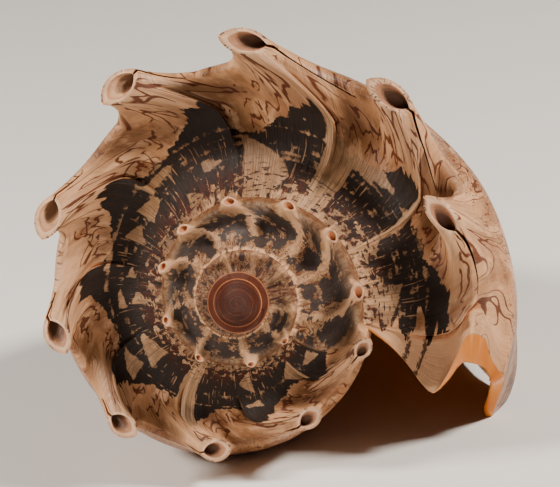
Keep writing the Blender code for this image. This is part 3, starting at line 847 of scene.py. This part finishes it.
def model_shell():
    mesh = ShellMesh()
    points, zones = shell_surface()
    columns = build_whorls(mesh, points, zones)
    ring = build_protoconch(mesh)
    join_whorls(mesh, columns, ring)
    foot_line = build_foot(mesh, columns)
    build_cavity(mesh, columns, foot_line)
    places, faces, corners = shell_arrays(mesh, growth_to_world())
    data = bpy.data.meshes.new("shell_surface")
    data.from_pydata(places, [], faces)
    growth, zones = np.array(mesh.growth), np.array(mesh.zones)
    shape = np.array(mesh.points)
    layer = data.uv_layers.new(name="growth")
    layer.data.foreach_set("uv", growth[corners].astype(np.float32).ravel())
    edge, window, scoop, phase = markings(growth)
    corner_colours(data, "zones", corners, zones)
    corner_colours(data, "markings", corners, np.stack([edge, window, scoop, phase], axis=-1))
    radius = np.hypot(shape[:, 0], shape[:, 1])
    spire = (growth[:, 0] >= 3 * TURN * COLUMN_PLACE) & (growth[:, 1] < 0)
    turns = growth[:, 0] / WHORL_LENGTH
    place = np.stack([radius / 10.0, spire, turns, np.ones(len(turns))], axis=-1)
    corner_colours(data, "place", corners, place)
    piece = bpy.data.objects.new("volute_shell", data)
    bpy.context.scene.collection.objects.link(piece)
    return piece


# ---- finish ----
RELIEF_STRENGTH = 0.6
RELIEF_HEIGHT = 0.00035    # metres
GLOSS = 0.18               # specular level of the polished shell

class Shader:
    """Short ways to add and link the nodes of one material."""

    def __init__(self, name):
        self.material = bpy.data.materials.new(name)
        self.material.use_nodes = True
        self.tree = self.material.node_tree
        self.surface = self.tree.nodes["Principled BSDF"].inputs

    def put(self, value, socket):
        if isinstance(value, bpy.types.NodeSocket):
            self.tree.links.new(value, socket)
        elif value is not None:
            socket.default_value = value

    def math(self, operation, a, b=None, clamp=False):
        node = self.tree.nodes.new("ShaderNodeMath")
        node.operation, node.use_clamp = operation, clamp
        self.put(a, node.inputs[0])
        self.put(b, node.inputs[1])
        return node.outputs[0]

    def step(self, value, start, end, low=0.0, high=1.0):
        """Smooth change from low to high while the value goes from start to end."""
        node = self.tree.nodes.new("ShaderNodeMapRange")
        node.interpolation_type = 'SMOOTHSTEP'
        for number, setting in enumerate((value, start, end, low, high)):
            self.put(setting, node.inputs[number])
        return node.outputs[0]

    def mix(self, factor, a, b):
        node = self.tree.nodes.new("ShaderNodeMix")
        node.data_type = 'RGBA'
        self.put(factor, node.inputs[0])
        self.put(a, node.inputs[6])
        self.put(b, node.inputs[7])
        return node.outputs[2]

    def stretch(self, vector, along, across, offset=0.0):
        """Growth coordinates stretched to a pattern's own grain."""
        node = self.tree.nodes.new("ShaderNodeMapping")
        self.put(vector, node.inputs["Vector"])
        node.inputs["Scale"].default_value = (along, across, 1.0)
        node.inputs["Location"].default_value = (offset, offset * 0.7, 0.0)
        return node.outputs[0]

    def noise(self, vector, detail=2.0, rough=0.5, distortion=0.0):
        node = self.tree.nodes.new("ShaderNodeTexNoise")
        node.noise_dimensions = '2D'
        self.put(vector, node.inputs["Vector"])
        node.inputs["Scale"].default_value = 1.0
        node.inputs["Detail"].default_value = detail
        node.inputs["Roughness"].default_value = rough
        node.inputs["Distortion"].default_value = distortion
        return node.outputs[0]

    def attribute(self, name):
        """The four numbers of a corner attribute."""
        node = self.tree.nodes.new("ShaderNodeAttribute")
        node.attribute_name = name
        split = self.tree.nodes.new("ShaderNodeSeparateColor")
        self.put(node.outputs["Color"], split.inputs[0])
        return split.outputs[0], split.outputs[1], split.outputs[2], node.outputs["Alpha"]

    def contour(self, value, level, width):
        """A thin line where the value passes a level."""
        away = self.math('ABSOLUTE', self.math('SUBTRACT', value, level))
        return self.step(away, width, width * 0.45)

    def all_of(self, *masks):
        result = masks[0]
        for mask in masks[1:]:
            result = self.math('MULTIPLY', result, mask)
        return result

    def any_of(self, *masks):
        result = masks[0]
        for mask in masks[1:]:
            result = self.math('MAXIMUM', result, mask)
        return result

    def without(self, mask):
        return self.math('SUBTRACT', 1.0, mask)

    def plus(self, value, other, share):
        """A value and a share of another one."""
        return self.math('ADD', value, self.math('MULTIPLY', other, share))

    def paint(self, base, tone, *masks):
        """One tone over the base, as far as all the masks let it."""
        return self.mix(self.all_of(*masks), base, colour(tone))


def colour(value):
    return (value[0], value[1], value[2], 1.0)


class ShellFields(Shader):
    """The shell's own coordinates and zones, and the patterns that several markings share."""

    def __init__(self, name):
        super().__init__(name)
        growth = self.tree.nodes.new("ShaderNodeUVMap")
        growth.uv_map = "growth"
        self.growth = growth.outputs[0]
        split = self.tree.nodes.new("ShaderNodeSeparateXYZ")
        self.put(self.growth, split.inputs[0])
        self.u, self.v = split.outputs[0], split.outputs[1]
        self.mouth, self.spine, self.slit, self.inside = self.attribute("zones")
        # the markings' third number is painted shade in the scoops
        self.edge, self.window, self.scoop, self.phase = self.attribute("markings")
        self.radius, self.spire, self.turns, _ = self.attribute("place")
        self.broad = self.math('SUBTRACT', self.pattern(0.9, 0.9), 0.5)
        fine = self.math('SUBTRACT', self.pattern(3.4, 3.4, 5.0), 0.5)
        self.wiggle = self.plus(self.broad, fine, 0.45)
        self.threads = self.pattern(9.0, 0.25, 3.0, detail=3.0)
        self.hair = self.pattern(30.0, 0.6, 9.0)
        self.patches = self.pattern(0.35, 0.5, 2.0, detail=3.0)
        self.stains = self.pattern(1.3, 0.9, 19.0, detail=4.0, rough=0.65)
        self.mottle = self.pattern(0.8, 0.55, 27.0, detail=4.0, rough=0.6)
        self.dashes = self.pattern(1.1, 6.0, 13.0, detail=2.0)
        self.last_whorl = self.step(self.turns, 1.004, 0.996)
        self.on_ramp = self.step(self.v, 8.3, 7.7)
        self.old = self.all_of(self.without(self.last_whorl), self.without(self.spire))
        self.seam = self.all_of(self.step(self.plus(self.v, self.wiggle, 1.3), 0.75, 0.25),
                                self.step(self.mottle, 0.43, 0.52), self.step(self.u, 46.0, 30.0, 0.35, 1.0))

    def pattern(self, along, across, offset=0.0, **settings):
        """Noise over the growth coordinates, with its own grain."""
        return self.noise(self.stretch(self.growth, along, across, offset), **settings)


def cream_ground(s, tones):
    """Cream and tan ground with its stains, growth threads and pale newest growth, painted highlight as
    pale patches, and painted shade in the scoops and over the newest folds.
    """
    ground = s.paint(colour(tones.cream), tones.tan, s.step(s.patches, 0.38, 0.62))
    stained = s.all_of(s.step(s.stains, 0.5, 0.7), s.step(s.v, 9.0, 12.0, 0.55, 0.22))
    ground = s.paint(ground, tones.cream, s.step(s.v, 10.0, 13.0, 0.0, 0.45))
    ground = s.paint(ground, tones.scoop, stained)
    ground = s.paint(ground, tones.blush, s.step(s.threads, 0.4, 0.7), 0.6)
    # painted shade in the scoop behind each former lip
    ground = s.paint(ground, tones.scoop, s.scoop, s.step(s.patches, 0.25, 0.6), 0.8)
    # painted highlight: pale patches on the folds
    ground = s.paint(ground, tones.ridge, s.step(s.mottle, 0.5, 0.68), 0.55)
    # pale newest growth by the lip, its own colour, and painted highlight on the folds between the first
    # two spines and round the fifth and sixth
    pale_lip_and_highlight = s.any_of(s.all_of(s.contour(s.u, 11.8, 5.0), s.step(s.mottle, 0.36, 0.5), 0.15),
                        s.step(s.u, 4.4, 2.6, 0.0, 0.75),
                        s.all_of(s.contour(s.u, 42.0, 6.5), s.step(s.mottle, 0.34, 0.5)))
    ground = s.paint(ground, tones.ridge, pale_lip_and_highlight, s.step(s.v, 5.0, 7.5, 0.4, 1.0),
                     s.step(s.v, 12.0, 9.0), s.last_whorl, 0.6)
    ground = s.paint(ground, tones.scoop, s.step(s.hair, 0.5, 0.7), 0.22)
    # painted shade: darker over the newest folds, from the lip to past the second spine
    newer = s.all_of(s.step(s.u, 2.6, 4.6), s.step(s.u, 21.0, 15.0), s.step(s.v, 3.5, 6.0),
                     s.step(s.v, 9.5, 8.0))
    ground = s.paint(ground, tones.scoop, newer, s.last_whorl, 0.36)
    ground = s.paint(ground, tones.ridge, s.step(s.phase, 0.93, 1.0), s.on_ramp, 0.6)
    ground = s.paint(ground, tones.ridge, s.seam, 0.8)
    # the spines' own pale cream, brightened as painted highlight on their lobes
    ground = s.paint(ground, tones.ridge, s.spine, s.step(s.stains, 0.3, 0.6, 0.8, 0.45))
    return ground


def dark_band(s, tones, ground):
    """The broken dark band of the last whorl over the ground, and a mask of its dark."""
    depth_in_band = s.plus(s.math('MULTIPLY', s.edge, 8.0), s.wiggle, 0.9)
    tongues = s.pattern(0.16, 1.5, 91.0, detail=2.0)
    newest = s.plus(s.u, tongues, 9.0)
    band = s.all_of(s.step(depth_in_band, -0.03, 0.05), s.last_whorl, s.on_ramp,
                    s.step(newest, 8.2, 8.4))
    pale = s.step(s.plus(s.window, s.wiggle, 0.4), -0.04, 0.06)
    mesh_net = s.pattern(0.95, 1.9, 7.0, detail=3.0, rough=0.55, distortion=0.3)
    net_level = s.plus(s.step(s.v, 0.4, 2.8, 0.49, 0.75), s.contour(s.u, 37.0, 14.0), 0.05)
    net = s.step(s.math('SUBTRACT', mesh_net, net_level), -0.01, 0.015)
    streaks = s.pattern(4.5, 0.55, 11.0, detail=2.0)
    streak = s.all_of(s.step(streaks, 0.68, 0.71), s.step(s.v, 4.8, 3.2))
    light = s.any_of(pale, net, streak)
    dash = s.all_of(s.step(s.dashes, 0.585, 0.61), s.step(s.v, 3.0, 1.2))
    dark_mask = s.all_of(band, s.without(s.all_of(light, s.without(dash))))
    dark = s.paint(colour(tones.band), tones.band_warm, s.step(s.threads, 0.35, 0.75))
    dark = s.paint(dark, tones.tan, s.step(s.hair, 0.62, 0.72), 0.1)
    window_ground = s.paint(ground, tones.window, 0.45)
    ruled = s.any_of(s.step(s.hair, 0.56, 0.62), s.all_of(s.step(s.threads, 0.55, 0.6), 0.8))
    window_ground = s.paint(window_ground, tones.band_warm, ruled, 0.6)
    window_ground = s.paint(window_ground, tones.scoop, s.contour(s.u, 36.0, 15.0), 0.4)
    under_band = s.mix(s.all_of(band, light), ground, window_ground)
    dark = s.paint(dark, tones.line, s.step(s.v, 2.6, 0.4), s.step(s.stains, 0.42, 0.6), 0.8)
    surface = s.mix(s.all_of(dark_mask, s.without(s.all_of(s.seam, 0.75))), under_band, dark)
    # painted shade: a dark line in the crevice at the foot of each former lip
    foot = s.all_of(s.step(s.phase, 0.035, 0.0), s.step(s.u, 2.8, 3.4), s.last_whorl, s.on_ramp,
                    s.step(s.v, 2.6, 4.2))
    return s.paint(surface, tones.crevice_shade, foot, 0.75), dark_mask


def red_brown_lines(s, tones, surface):
    """Thin lines on the cream, tents on the side, and the dashes by the lip."""
    fingers = s.math('SUBTRACT', s.pattern(1.25, 0.42, 37.0, detail=1.2), 0.5)
    away = s.plus(s.math('MULTIPLY', s.edge, -8.0), s.wiggle, 0.7)
    away = s.plus(away, fingers, 2.9)
    breaks = s.pattern(0.55, 0.7, 17.0, detail=1.0)
    open_line = s.step(breaks, 0.46, 0.5)
    follow = s.any_of(s.all_of(s.contour(away, 0.7, 0.19), s.step(breaks, 0.41, 0.45)),
                      s.all_of(s.contour(away, 1.6, 0.16), open_line))
    loops = s.pattern(0.3, 0.42, 23.0, detail=1.4, rough=0.5, distortion=0.25)
    loop = s.all_of(s.contour(loops, 0.5, 0.016), s.step(breaks, 0.43, 0.47))
    ramp_lines = s.all_of(s.any_of(follow, loop), s.last_whorl, s.on_ramp,
                          s.step(s.edge, -0.01, -0.03), s.step(s.turns, 0.03, 0.05))
    side = s.pattern(0.4, 0.26, 31.0, detail=1.8, rough=0.55, distortion=0.25)
    tent = s.math('PINGPONG', s.plus(s.v, s.broad, 3.0), 0.85)
    tent = s.plus(s.math('MULTIPLY', tent, 1.2), s.wiggle, 2.4)
    tent = s.math('FRACT', s.math('ADD', s.math('MULTIPLY', s.u, 0.6), tent))
    tents = s.all_of(s.contour(tent, 0.5, 0.085), s.step(breaks, 0.4, 0.46), s.step(s.v, 9.5, 11.0))
    side_lines = s.all_of(s.any_of(s.contour(side, 0.47, 0.013), s.contour(side, 0.57, 0.01), tents),
                          s.without(s.on_ramp))
    line = s.all_of(s.any_of(ramp_lines, side_lines), s.without(s.step(s.mouth, 0.1, 0.3)))
    surface = s.paint(surface, tones.line, line, 0.9)
    drift = s.plus(s.v, s.wiggle, 0.8)
    marks = s.any_of(s.contour(drift, 3.5, 0.22), s.contour(drift, 4.75, 0.26))
    marks = s.all_of(marks, s.step(s.u, 2.9, 2.5), s.step(s.dashes, 0.36, 0.44), s.on_ramp)
    surface = s.paint(surface, tones.band_warm, marks, 0.9)
    side_dash = s.pattern(0.7, 1.6, 43.0, detail=3.0, rough=0.65)
    side_zone = s.all_of(s.step(s.u, 3.4, 2.2),
                         s.any_of(s.contour(s.v, 12.4, 1.5), s.contour(s.v, 17.5, 2.6)))
    side_dash = s.all_of(s.step(side_dash, 0.46, 0.54), side_zone)
    return s.paint(surface, tones.spire_dark, side_dash, 0.8)


def side_bands(s, tones, surface):
    """Broken brown bands down the side."""
    blotches = s.pattern(1.1, 0.45, 41.0, detail=3.0, rough=0.6)
    zones = s.any_of(s.all_of(s.step(s.v, 14.5, 16.5), s.step(s.v, 21.0, 19.5)),
                     s.all_of(s.step(s.v, 28.0, 29.5), s.step(s.v, 34.5, 33.0)))
    blotch = s.all_of(zones, s.step(blotches, 0.51, 0.56))
    return s.paint(surface, tones.line, blotch, 0.85)


def earlier_whorls(s, tones):
    """Pale ribs with dark between them, a finer web on the third whorl, and the dome's edge."""
    between = s.pattern(0.36, 0.5, 51.0, detail=2.5, rough=0.5)
    small = s.pattern(1.3, 2.4, 57.0, detail=2.0)
    old_dark = s.plus(between, small, 0.32)
    old_dark = s.plus(old_dark, s.spine, -0.34)
    old_dark = s.math('SUBTRACT', old_dark, s.step(s.v, 3.6, 1.6, 0.0, 0.12))
    old_dark = s.all_of(s.step(old_dark, 0.545, 0.58), s.step(s.v, 8.6, 6.4, 0.35, 1.0))
    web = s.pattern(0.75, 0.55, 67.0, detail=1.6, rough=0.5, distortion=0.5)
    web_line = s.any_of(s.contour(web, 0.5, 0.03), s.contour(web, 0.6, 0.024),
                        s.contour(web, 0.41, 0.022))
    web_line = s.all_of(web_line, s.without(s.all_of(s.spine, 0.75)))
    old_ground = s.paint(colour(tones.window), tones.scoop, s.step(s.stains, 0.4, 0.66))
    old_ground = s.paint(old_ground, tones.blush, s.step(s.threads, 0.4, 0.7), 0.4)
    old_ground = s.paint(old_ground, tones.ridge, s.spine, 0.75)
    old_surface = s.paint(old_ground, tones.line, web_line, s.step(s.v, 7.0, 4.5, 0.35, 0.9))
    old_surface = s.paint(old_surface, tones.spire_dark, old_dark, 0.93)
    third = s.step(s.turns, 2.0, 2.05)
    fine = s.pattern(0.8, 0.34, 69.0, detail=1.5, rough=0.5, distortion=0.6)
    fine_web = s.any_of(s.step(fine, 0.5, 0.53), s.contour(fine, 0.44, 0.034),
                        s.contour(fine, 0.36, 0.026))
    third_ground = s.paint(colour(tones.window), tones.tan, s.step(s.stains, 0.42, 0.6))
    third_surface = s.paint(third_ground, tones.spire_rim, fine_web, 0.92)
    third_surface = s.paint(third_surface, tones.spire_dark, s.step(fine, 0.6, 0.63), 0.85)
    third_surface = s.paint(third_surface, tones.ridge, s.spine, 0.45)
    old_seam = s.step(s.plus(s.v, s.wiggle, 0.8), 0.7, 0.3)
    old_seam = s.all_of(old_seam, s.step(s.mottle, 0.4, 0.52))
    # painted shade on the steep wall under the earlier whorls' rim, broken by the mottle
    wall = s.all_of(s.step(s.v, 7.9, 8.6), s.step(s.mottle, 0.36, 0.6, 0.75, 0.3))
    old_surface = s.paint(old_surface, tones.scoop, wall)
    old_surface = s.paint(old_surface, tones.spire_rim, s.step(s.v, 8.2, 9.4),
                          s.step(small, 0.46, 0.56), 0.7)
    old_surface = s.mix(third, old_surface, third_surface)
    old_surface = s.paint(old_surface, tones.ridge, old_seam, 0.9)
    old_tip = s.all_of(s.step(s.mouth, 0.02, 0.2), s.step(s.mouth, 0.7, 0.5))
    old_surface = s.paint(old_surface, tones.dome_rim, old_tip, 0.7)
    near_dome = s.step(s.radius, 0.8, 0.765)
    old_surface = s.paint(old_surface, tones.dome, near_dome)
    outer_line = s.contour(s.radius, 0.765, 0.016)
    old_surface = s.paint(old_surface, tones.dome_rim, outer_line, 0.6)
    return old_surface


def first_whorls(s, tones):
    """The dome of the first whorls, with its dotted rim."""
    rings = s.pattern(0.05, 6.0, 61.0, detail=3.0)
    dome = s.paint(colour(tones.dome), tones.dome_dark, s.step(rings, 0.4, 0.6))
    rim_line = s.all_of(s.step(s.radius, 0.585, 0.6), s.step(s.radius, 0.635, 0.62))
    dotted = s.pattern(1.6, 3.0, 63.0, detail=2.0)
    dome = s.paint(dome, tones.dome_rim, s.step(s.spine, 0.6, 1.0), s.step(dotted, 0.42, 0.66), 0.42)
    return s.paint(dome, tones.dome_rim, rim_line, s.step(dotted, 0.25, 0.6, 0.45, 0.95))


def mouths_and_hollow(s, tones, surface):
    """Mouths of the spines, the closed slits and the glossy hollow."""
    # pale rim of each mouth: its own colour, brightened as painted highlight
    rim = s.all_of(s.step(s.mouth, 0.02, 0.3), s.step(s.mouth, 0.6, 0.4))
    surface = s.paint(surface, tones.mouth_rim, rim, 0.65)
    lining = s.all_of(s.step(s.mouth, 0.4, 0.44), s.step(s.mouth, 0.66, 0.54), s.without(s.old))
    surface = s.paint(surface, tones.blush, lining, 0.7)
    hollow = s.paint(colour(tones.mouth), tones.dome_rim, s.old)
    surface = s.mix(s.step(s.mouth, 0.42, 0.75), surface, hollow)
    # painted highlight in the hollows of the fourth and fifth spines
    highlit_hollows = s.all_of(s.step(s.mouth, 0.42, 0.6),
                      s.any_of(s.contour(s.u, 31.3, 2.5), s.contour(s.u, 39.3, 1.6)))
    surface = s.paint(surface, tones.ridge, highlit_hollows, 0.75)
    # painted shade deep in the spines' hollows
    surface = s.paint(surface, tones.crevice_shade, s.step(s.mouth, 0.9, 1.0),
                      s.step(s.old, 0.2, 0.8, 0.6, 0.15))
    # painted shade: dark spots for small pits on the second spine's rim
    pits = s.pattern(5.0, 5.0, 77.0, detail=2.0)
    pitted = s.all_of(s.step(pits, 0.62, 0.66), rim, s.contour(s.u, 15.6, 2.2), 0.8)
    surface = s.paint(surface, tones.crevice_shade, pitted)
    # closed slits: partly their own dark brown, partly painted shade
    surface = s.paint(surface, tones.crevice_shade, s.step(s.slit, 0.3, 0.9), 0.8)
    nacre = s.paint(colour(tones.inside), tones.inside_pale, s.step(s.patches, 0.3, 0.7))
    return s.mix(s.step(s.inside, 0.2, 0.7), surface, nacre)


def growth_relief(s, grain):
    """Growth lines, spiral threads by the suture and a faint grain, as a bump."""
    spiral = s.pattern(0.8, 16.0, 73.0, detail=1.0)
    height = s.math('MULTIPLY', s.threads, 0.9)
    height = s.plus(height, s.hair, 0.45)
    height = s.plus(height, grain, 0.25)
    height = s.math('ADD', height, s.all_of(spiral, s.step(s.v, 3.0, 1.0), 0.4))
    height = s.math('MULTIPLY', height, s.step(s.inside, 0.7, 0.2, 0.12, 1.0))
    node = s.tree.nodes.new("ShaderNodeBump")
    node.inputs["Strength"].default_value = RELIEF_STRENGTH
    node.inputs["Distance"].default_value = RELIEF_HEIGHT
    s.put(height, node.inputs["Height"])
    return node.outputs[0]


def shell_finish(tones):
    """Glossy shell: cream folds, a dark broken band, red-brown lines and growth lines."""
    s = ShellFields("volute_shell_surface")
    surface, dark_mask = dark_band(s, tones, cream_ground(s, tones))
    surface = red_brown_lines(s, tones, surface)
    surface = side_bands(s, tones, surface)
    surface = s.mix(s.old, surface, earlier_whorls(s, tones))
    surface = s.mix(s.spire, surface, first_whorls(s, tones))
    surface = mouths_and_hollow(s, tones, surface)
    grain = s.pattern(9.0, 9.0, 71.0, detail=3.0)
    shine = s.step(s.plus(grain, s.threads, 0.5), 0.5, 1.1, 0.27, 0.44)
    shine = s.plus(shine, s.inside, -0.17)
    shine = s.plus(shine, dark_mask, 0.16)
    s.put(surface, s.surface["Base Color"])
    s.put(shine, s.surface["Roughness"])
    s.put(growth_relief(s, grain), s.surface["Normal"])
    s.put(GLOSS, s.surface["Specular IOR Level"])
    return s.material



def floor_finish(tone):
    """Matt pale paper with a faint tooth."""
    s = Shader("studio_paper")
    place = s.tree.nodes.new("ShaderNodeTexCoord").outputs["Object"]
    tooth = s.noise(s.stretch(place, 900.0, 900.0), detail=2.0)
    s.put(colour(tone), s.surface["Base Color"])
    s.put(s.step(tooth, 0.2, 0.8, 0.7, 0.85), s.surface["Roughness"])
    return s.material


# ---- add-on ----

def tone(label, value, description):
    return bpy.props.FloatVectorProperty(name=label, description=description, subtype='COLOR',
                                         size=3, min=0.0, max=1.0, default=value)


class VoluteTones(bpy.types.PropertyGroup):
    cream: tone("Cream", (0.47, 0.235, 0.108), "Palest ground of the folds")
    tan: tone("Tan", (0.23, 0.106, 0.046), "Darker ground of the folds")
    blush: tone("Blush", (0.42, 0.155, 0.068), "Pinkish growth lines")
    # scoop: colour of stains and growth hairs, and painted shade in the scoops, over the newest folds and
    # on the earlier whorls' wall
    scoop: tone("Scoop", (0.155, 0.066, 0.024), "Brown hollow behind each former lip")
    # ridge: the pale edges' own colour, also used as painted highlight on the folds, the spines' lobes and
    # two spines' hollows
    ridge: tone("Ridge", (0.80, 0.45, 0.25), "Worn pale edges of former lips and spines")
    window: tone("Window", (0.40, 0.25, 0.135), "Cream windows in the dark band")
    band: tone("Band", (0.013, 0.0075, 0.0052), "Brown-black band round the spire")
    band_warm: tone("Warm band", (0.024, 0.010, 0.006), "Browner threads in the band")
    line: tone("Line", (0.080, 0.013, 0.004), "Red-brown lines and blotches")
    spire_dark: tone("Spire dark", (0.034, 0.024, 0.023), "Blue-black between the ribs of the spire")
    spire_rim: tone("Spire rim", (0.13, 0.035, 0.016), "Red-brown next to the first whorls")
    dome: tone("Dome", (0.105, 0.025, 0.011), "First whorls")
    dome_dark: tone("Dome dark", (0.040, 0.010, 0.006), "Rings of the first whorls")
    dome_rim: tone("Dome rim", (0.66, 0.24, 0.095), "Bright edge round the first whorls")
    # mouth rim: own pale colour, brightened as painted highlight
    mouth_rim: tone("Mouth rim", (0.90, 0.58, 0.39), "Edge of a spine's mouth")
    mouth: tone("Mouth", (0.26, 0.118, 0.066), "Hollow of a spine")
    # crevice shade: painted shade in the slits, at the foot of each former lip, deep in the spines' mouths
    # and in small pits; the slits also have some dark brown of their own
    crevice_shade: tone("Crevice", (0.030, 0.014, 0.008), "Closed slit behind a spine")
    inside: tone("Inside", (0.70, 0.19, 0.018), "Glossy inside of the aperture")
    inside_pale: tone("Pale inside", (0.78, 0.27, 0.034), "Paler inside of the aperture")


class VoluteStage(bpy.types.PropertyGroup):
    floor_tone: tone("Floor", (0.80, 0.79, 0.77), "Colour of the studio floor")
    floor_size: bpy.props.FloatProperty(name="Floor size", description="Side of the studio floor",
                                        default=6.0, min=1.0, unit='LENGTH')
    key_power: bpy.props.FloatProperty(name="Key light", description="Power in watts",
                                       default=26.0, min=0.0)
    fill_power: bpy.props.FloatProperty(name="Fill light", description="Power in watts",
                                        default=20.0, min=0.0)
    distance: bpy.props.FloatProperty(name="Camera distance", description="Camera to the apex",
                                      default=0.9, min=0.2, unit='LENGTH')


class VOLUTE_OT_shell(bpy.types.Operator):
    """Grow the shell's surface and lay it down where the frame has it"""
    bl_idname = "volute.shell"
    bl_label = "Grow shell"

    def execute(self, context):
        piece = model_shell()
        bpy.ops.object.select_all(action='DESELECT')
        context.view_layer.objects.active = piece
        piece.select_set(True)
        bpy.ops.object.mode_set(mode='EDIT')
        bpy.ops.mesh.select_all(action='SELECT')
        bpy.ops.mesh.normals_make_consistent(inside=False)
        bpy.ops.object.mode_set(mode='OBJECT')
        bpy.ops.object.shade_smooth_by_angle(angle=math.radians(60))
        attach(piece, "root")
        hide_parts("shell")
        return {'FINISHED'}


class VOLUTE_OT_finish(bpy.types.Operator):
    """Give the shell its markings, gloss and relief"""
    bl_idname = "volute.finish"
    bl_label = "Finish shell"

    def execute(self, context):
        piece = bpy.data.objects["volute_shell"]
        piece.data.materials.clear()
        piece.data.materials.append(shell_finish(context.scene.volute_tones))
        return {'FINISHED'}


def area_light(name, place, target, size, power):
    bpy.ops.object.light_add(type='AREA', location=place)
    light = bpy.context.object
    light.name = name
    light.data.shape = 'DISK'
    light.data.size = size
    light.data.energy = power
    light.data.color = LIGHT_TONE
    light.rotation_euler = (Vector(target) - Vector(place)).to_track_quat('-Z', 'Y').to_euler()
    return light


class VOLUTE_OT_stage(bpy.types.Operator):
    """Set the pale floor, the soft lights and the camera that looks along the shell's axis"""
    bl_idname = "volute.stage"
    bl_label = "Set stage"

    def execute(self, context):
        settings = context.scene.volute_stage
        to_world = growth_to_world()
        apex = to_world @ Vector((0, 0, 0))
        bpy.ops.object.select_all(action='DESELECT')
        bpy.ops.mesh.primitive_plane_add(size=settings.floor_size, location=(0, 0, 0))
        floor = context.object
        floor.name = "studio_floor"
        floor.data.materials.append(floor_finish(settings.floor_tone))
        turn = to_world.to_3x3().normalized()
        lean, tilt = math.radians(CAMERA_LEAN), math.radians(CAMERA_TILT)
        away = turn @ Vector((math.sin(lean) * math.cos(tilt), math.sin(tilt),
                              math.cos(lean) * math.cos(tilt)))
        up = turn @ Vector((0, 1, 0))
        side = up.cross(away).normalized()
        up = away.cross(side).normalized()
        data = bpy.data.cameras.new("studio_camera")
        camera = bpy.data.objects.new("studio_camera", data)
        context.scene.collection.objects.link(camera)
        facing = Matrix((side, up, away)).transposed().to_4x4()
        camera.matrix_world = Matrix.Translation(apex + away * settings.distance) @ facing
        data.sensor_width = SENSOR
        data.lens = SENSOR * settings.distance / (VIEW_WIDTH * MM)
        data.shift_x, data.shift_y = VIEW_SHIFT
        data.clip_start, data.clip_end = 0.01, 20.0
        context.scene.camera = camera
        for name, place, size, power in (("key_light", KEY_PLACE, KEY_SIZE, settings.key_power),
                                         ("fill_light", FILL_PLACE, FILL_SIZE, settings.fill_power)):
            spot = apex + side * place[0] + up * place[1] + away * place[2]
            spot.z = max(spot.z, LOWEST_LIGHT)
            area_light(name, spot, apex, size, power)
        world = bpy.data.worlds.new("studio_air")
        world.use_nodes = True
        air = world.node_tree.nodes["Background"].inputs
        air["Color"].default_value = AIR_TONE
        air["Strength"].default_value = AIR_POWER
        context.scene.world = world
        return {'FINISHED'}


class VOLUTE_PT_panel(bpy.types.Panel):
    """Steps that build the shell and its stage"""
    bl_idname = "VOLUTE_PT_panel"
    bl_label = "Volute Shell"
    bl_space_type = 'VIEW_3D'
    bl_region_type = 'UI'
    bl_category = "Volute Shell"

    def draw(self, context):
        for step in (VOLUTE_OT_shell, VOLUTE_OT_finish, VOLUTE_OT_stage):
            self.layout.operator(step.bl_idname)
        for group in (context.scene.volute_tones, context.scene.volute_stage):
            for name in group.__annotations__:
                self.layout.prop(group, name)


CLASSES = (VoluteTones, VoluteStage, VOLUTE_OT_shell, VOLUTE_OT_finish, VOLUTE_OT_stage,
           VOLUTE_PT_panel)


def register():
    for item in CLASSES:
        bpy.utils.register_class(item)
    bpy.types.Scene.volute_tones = bpy.props.PointerProperty(type=VoluteTones)
    bpy.types.Scene.volute_stage = bpy.props.PointerProperty(type=VoluteStage)


def unregister():
    del bpy.types.Scene.volute_stage
    del bpy.types.Scene.volute_tones
    for item in reversed(CLASSES):
        bpy.utils.unregister_class(item)


def main():
    register()
    bpy.ops.volute.shell()
    bpy.ops.volute.finish()
    bpy.ops.volute.stage()


if __name__ == "__main__":
    main()
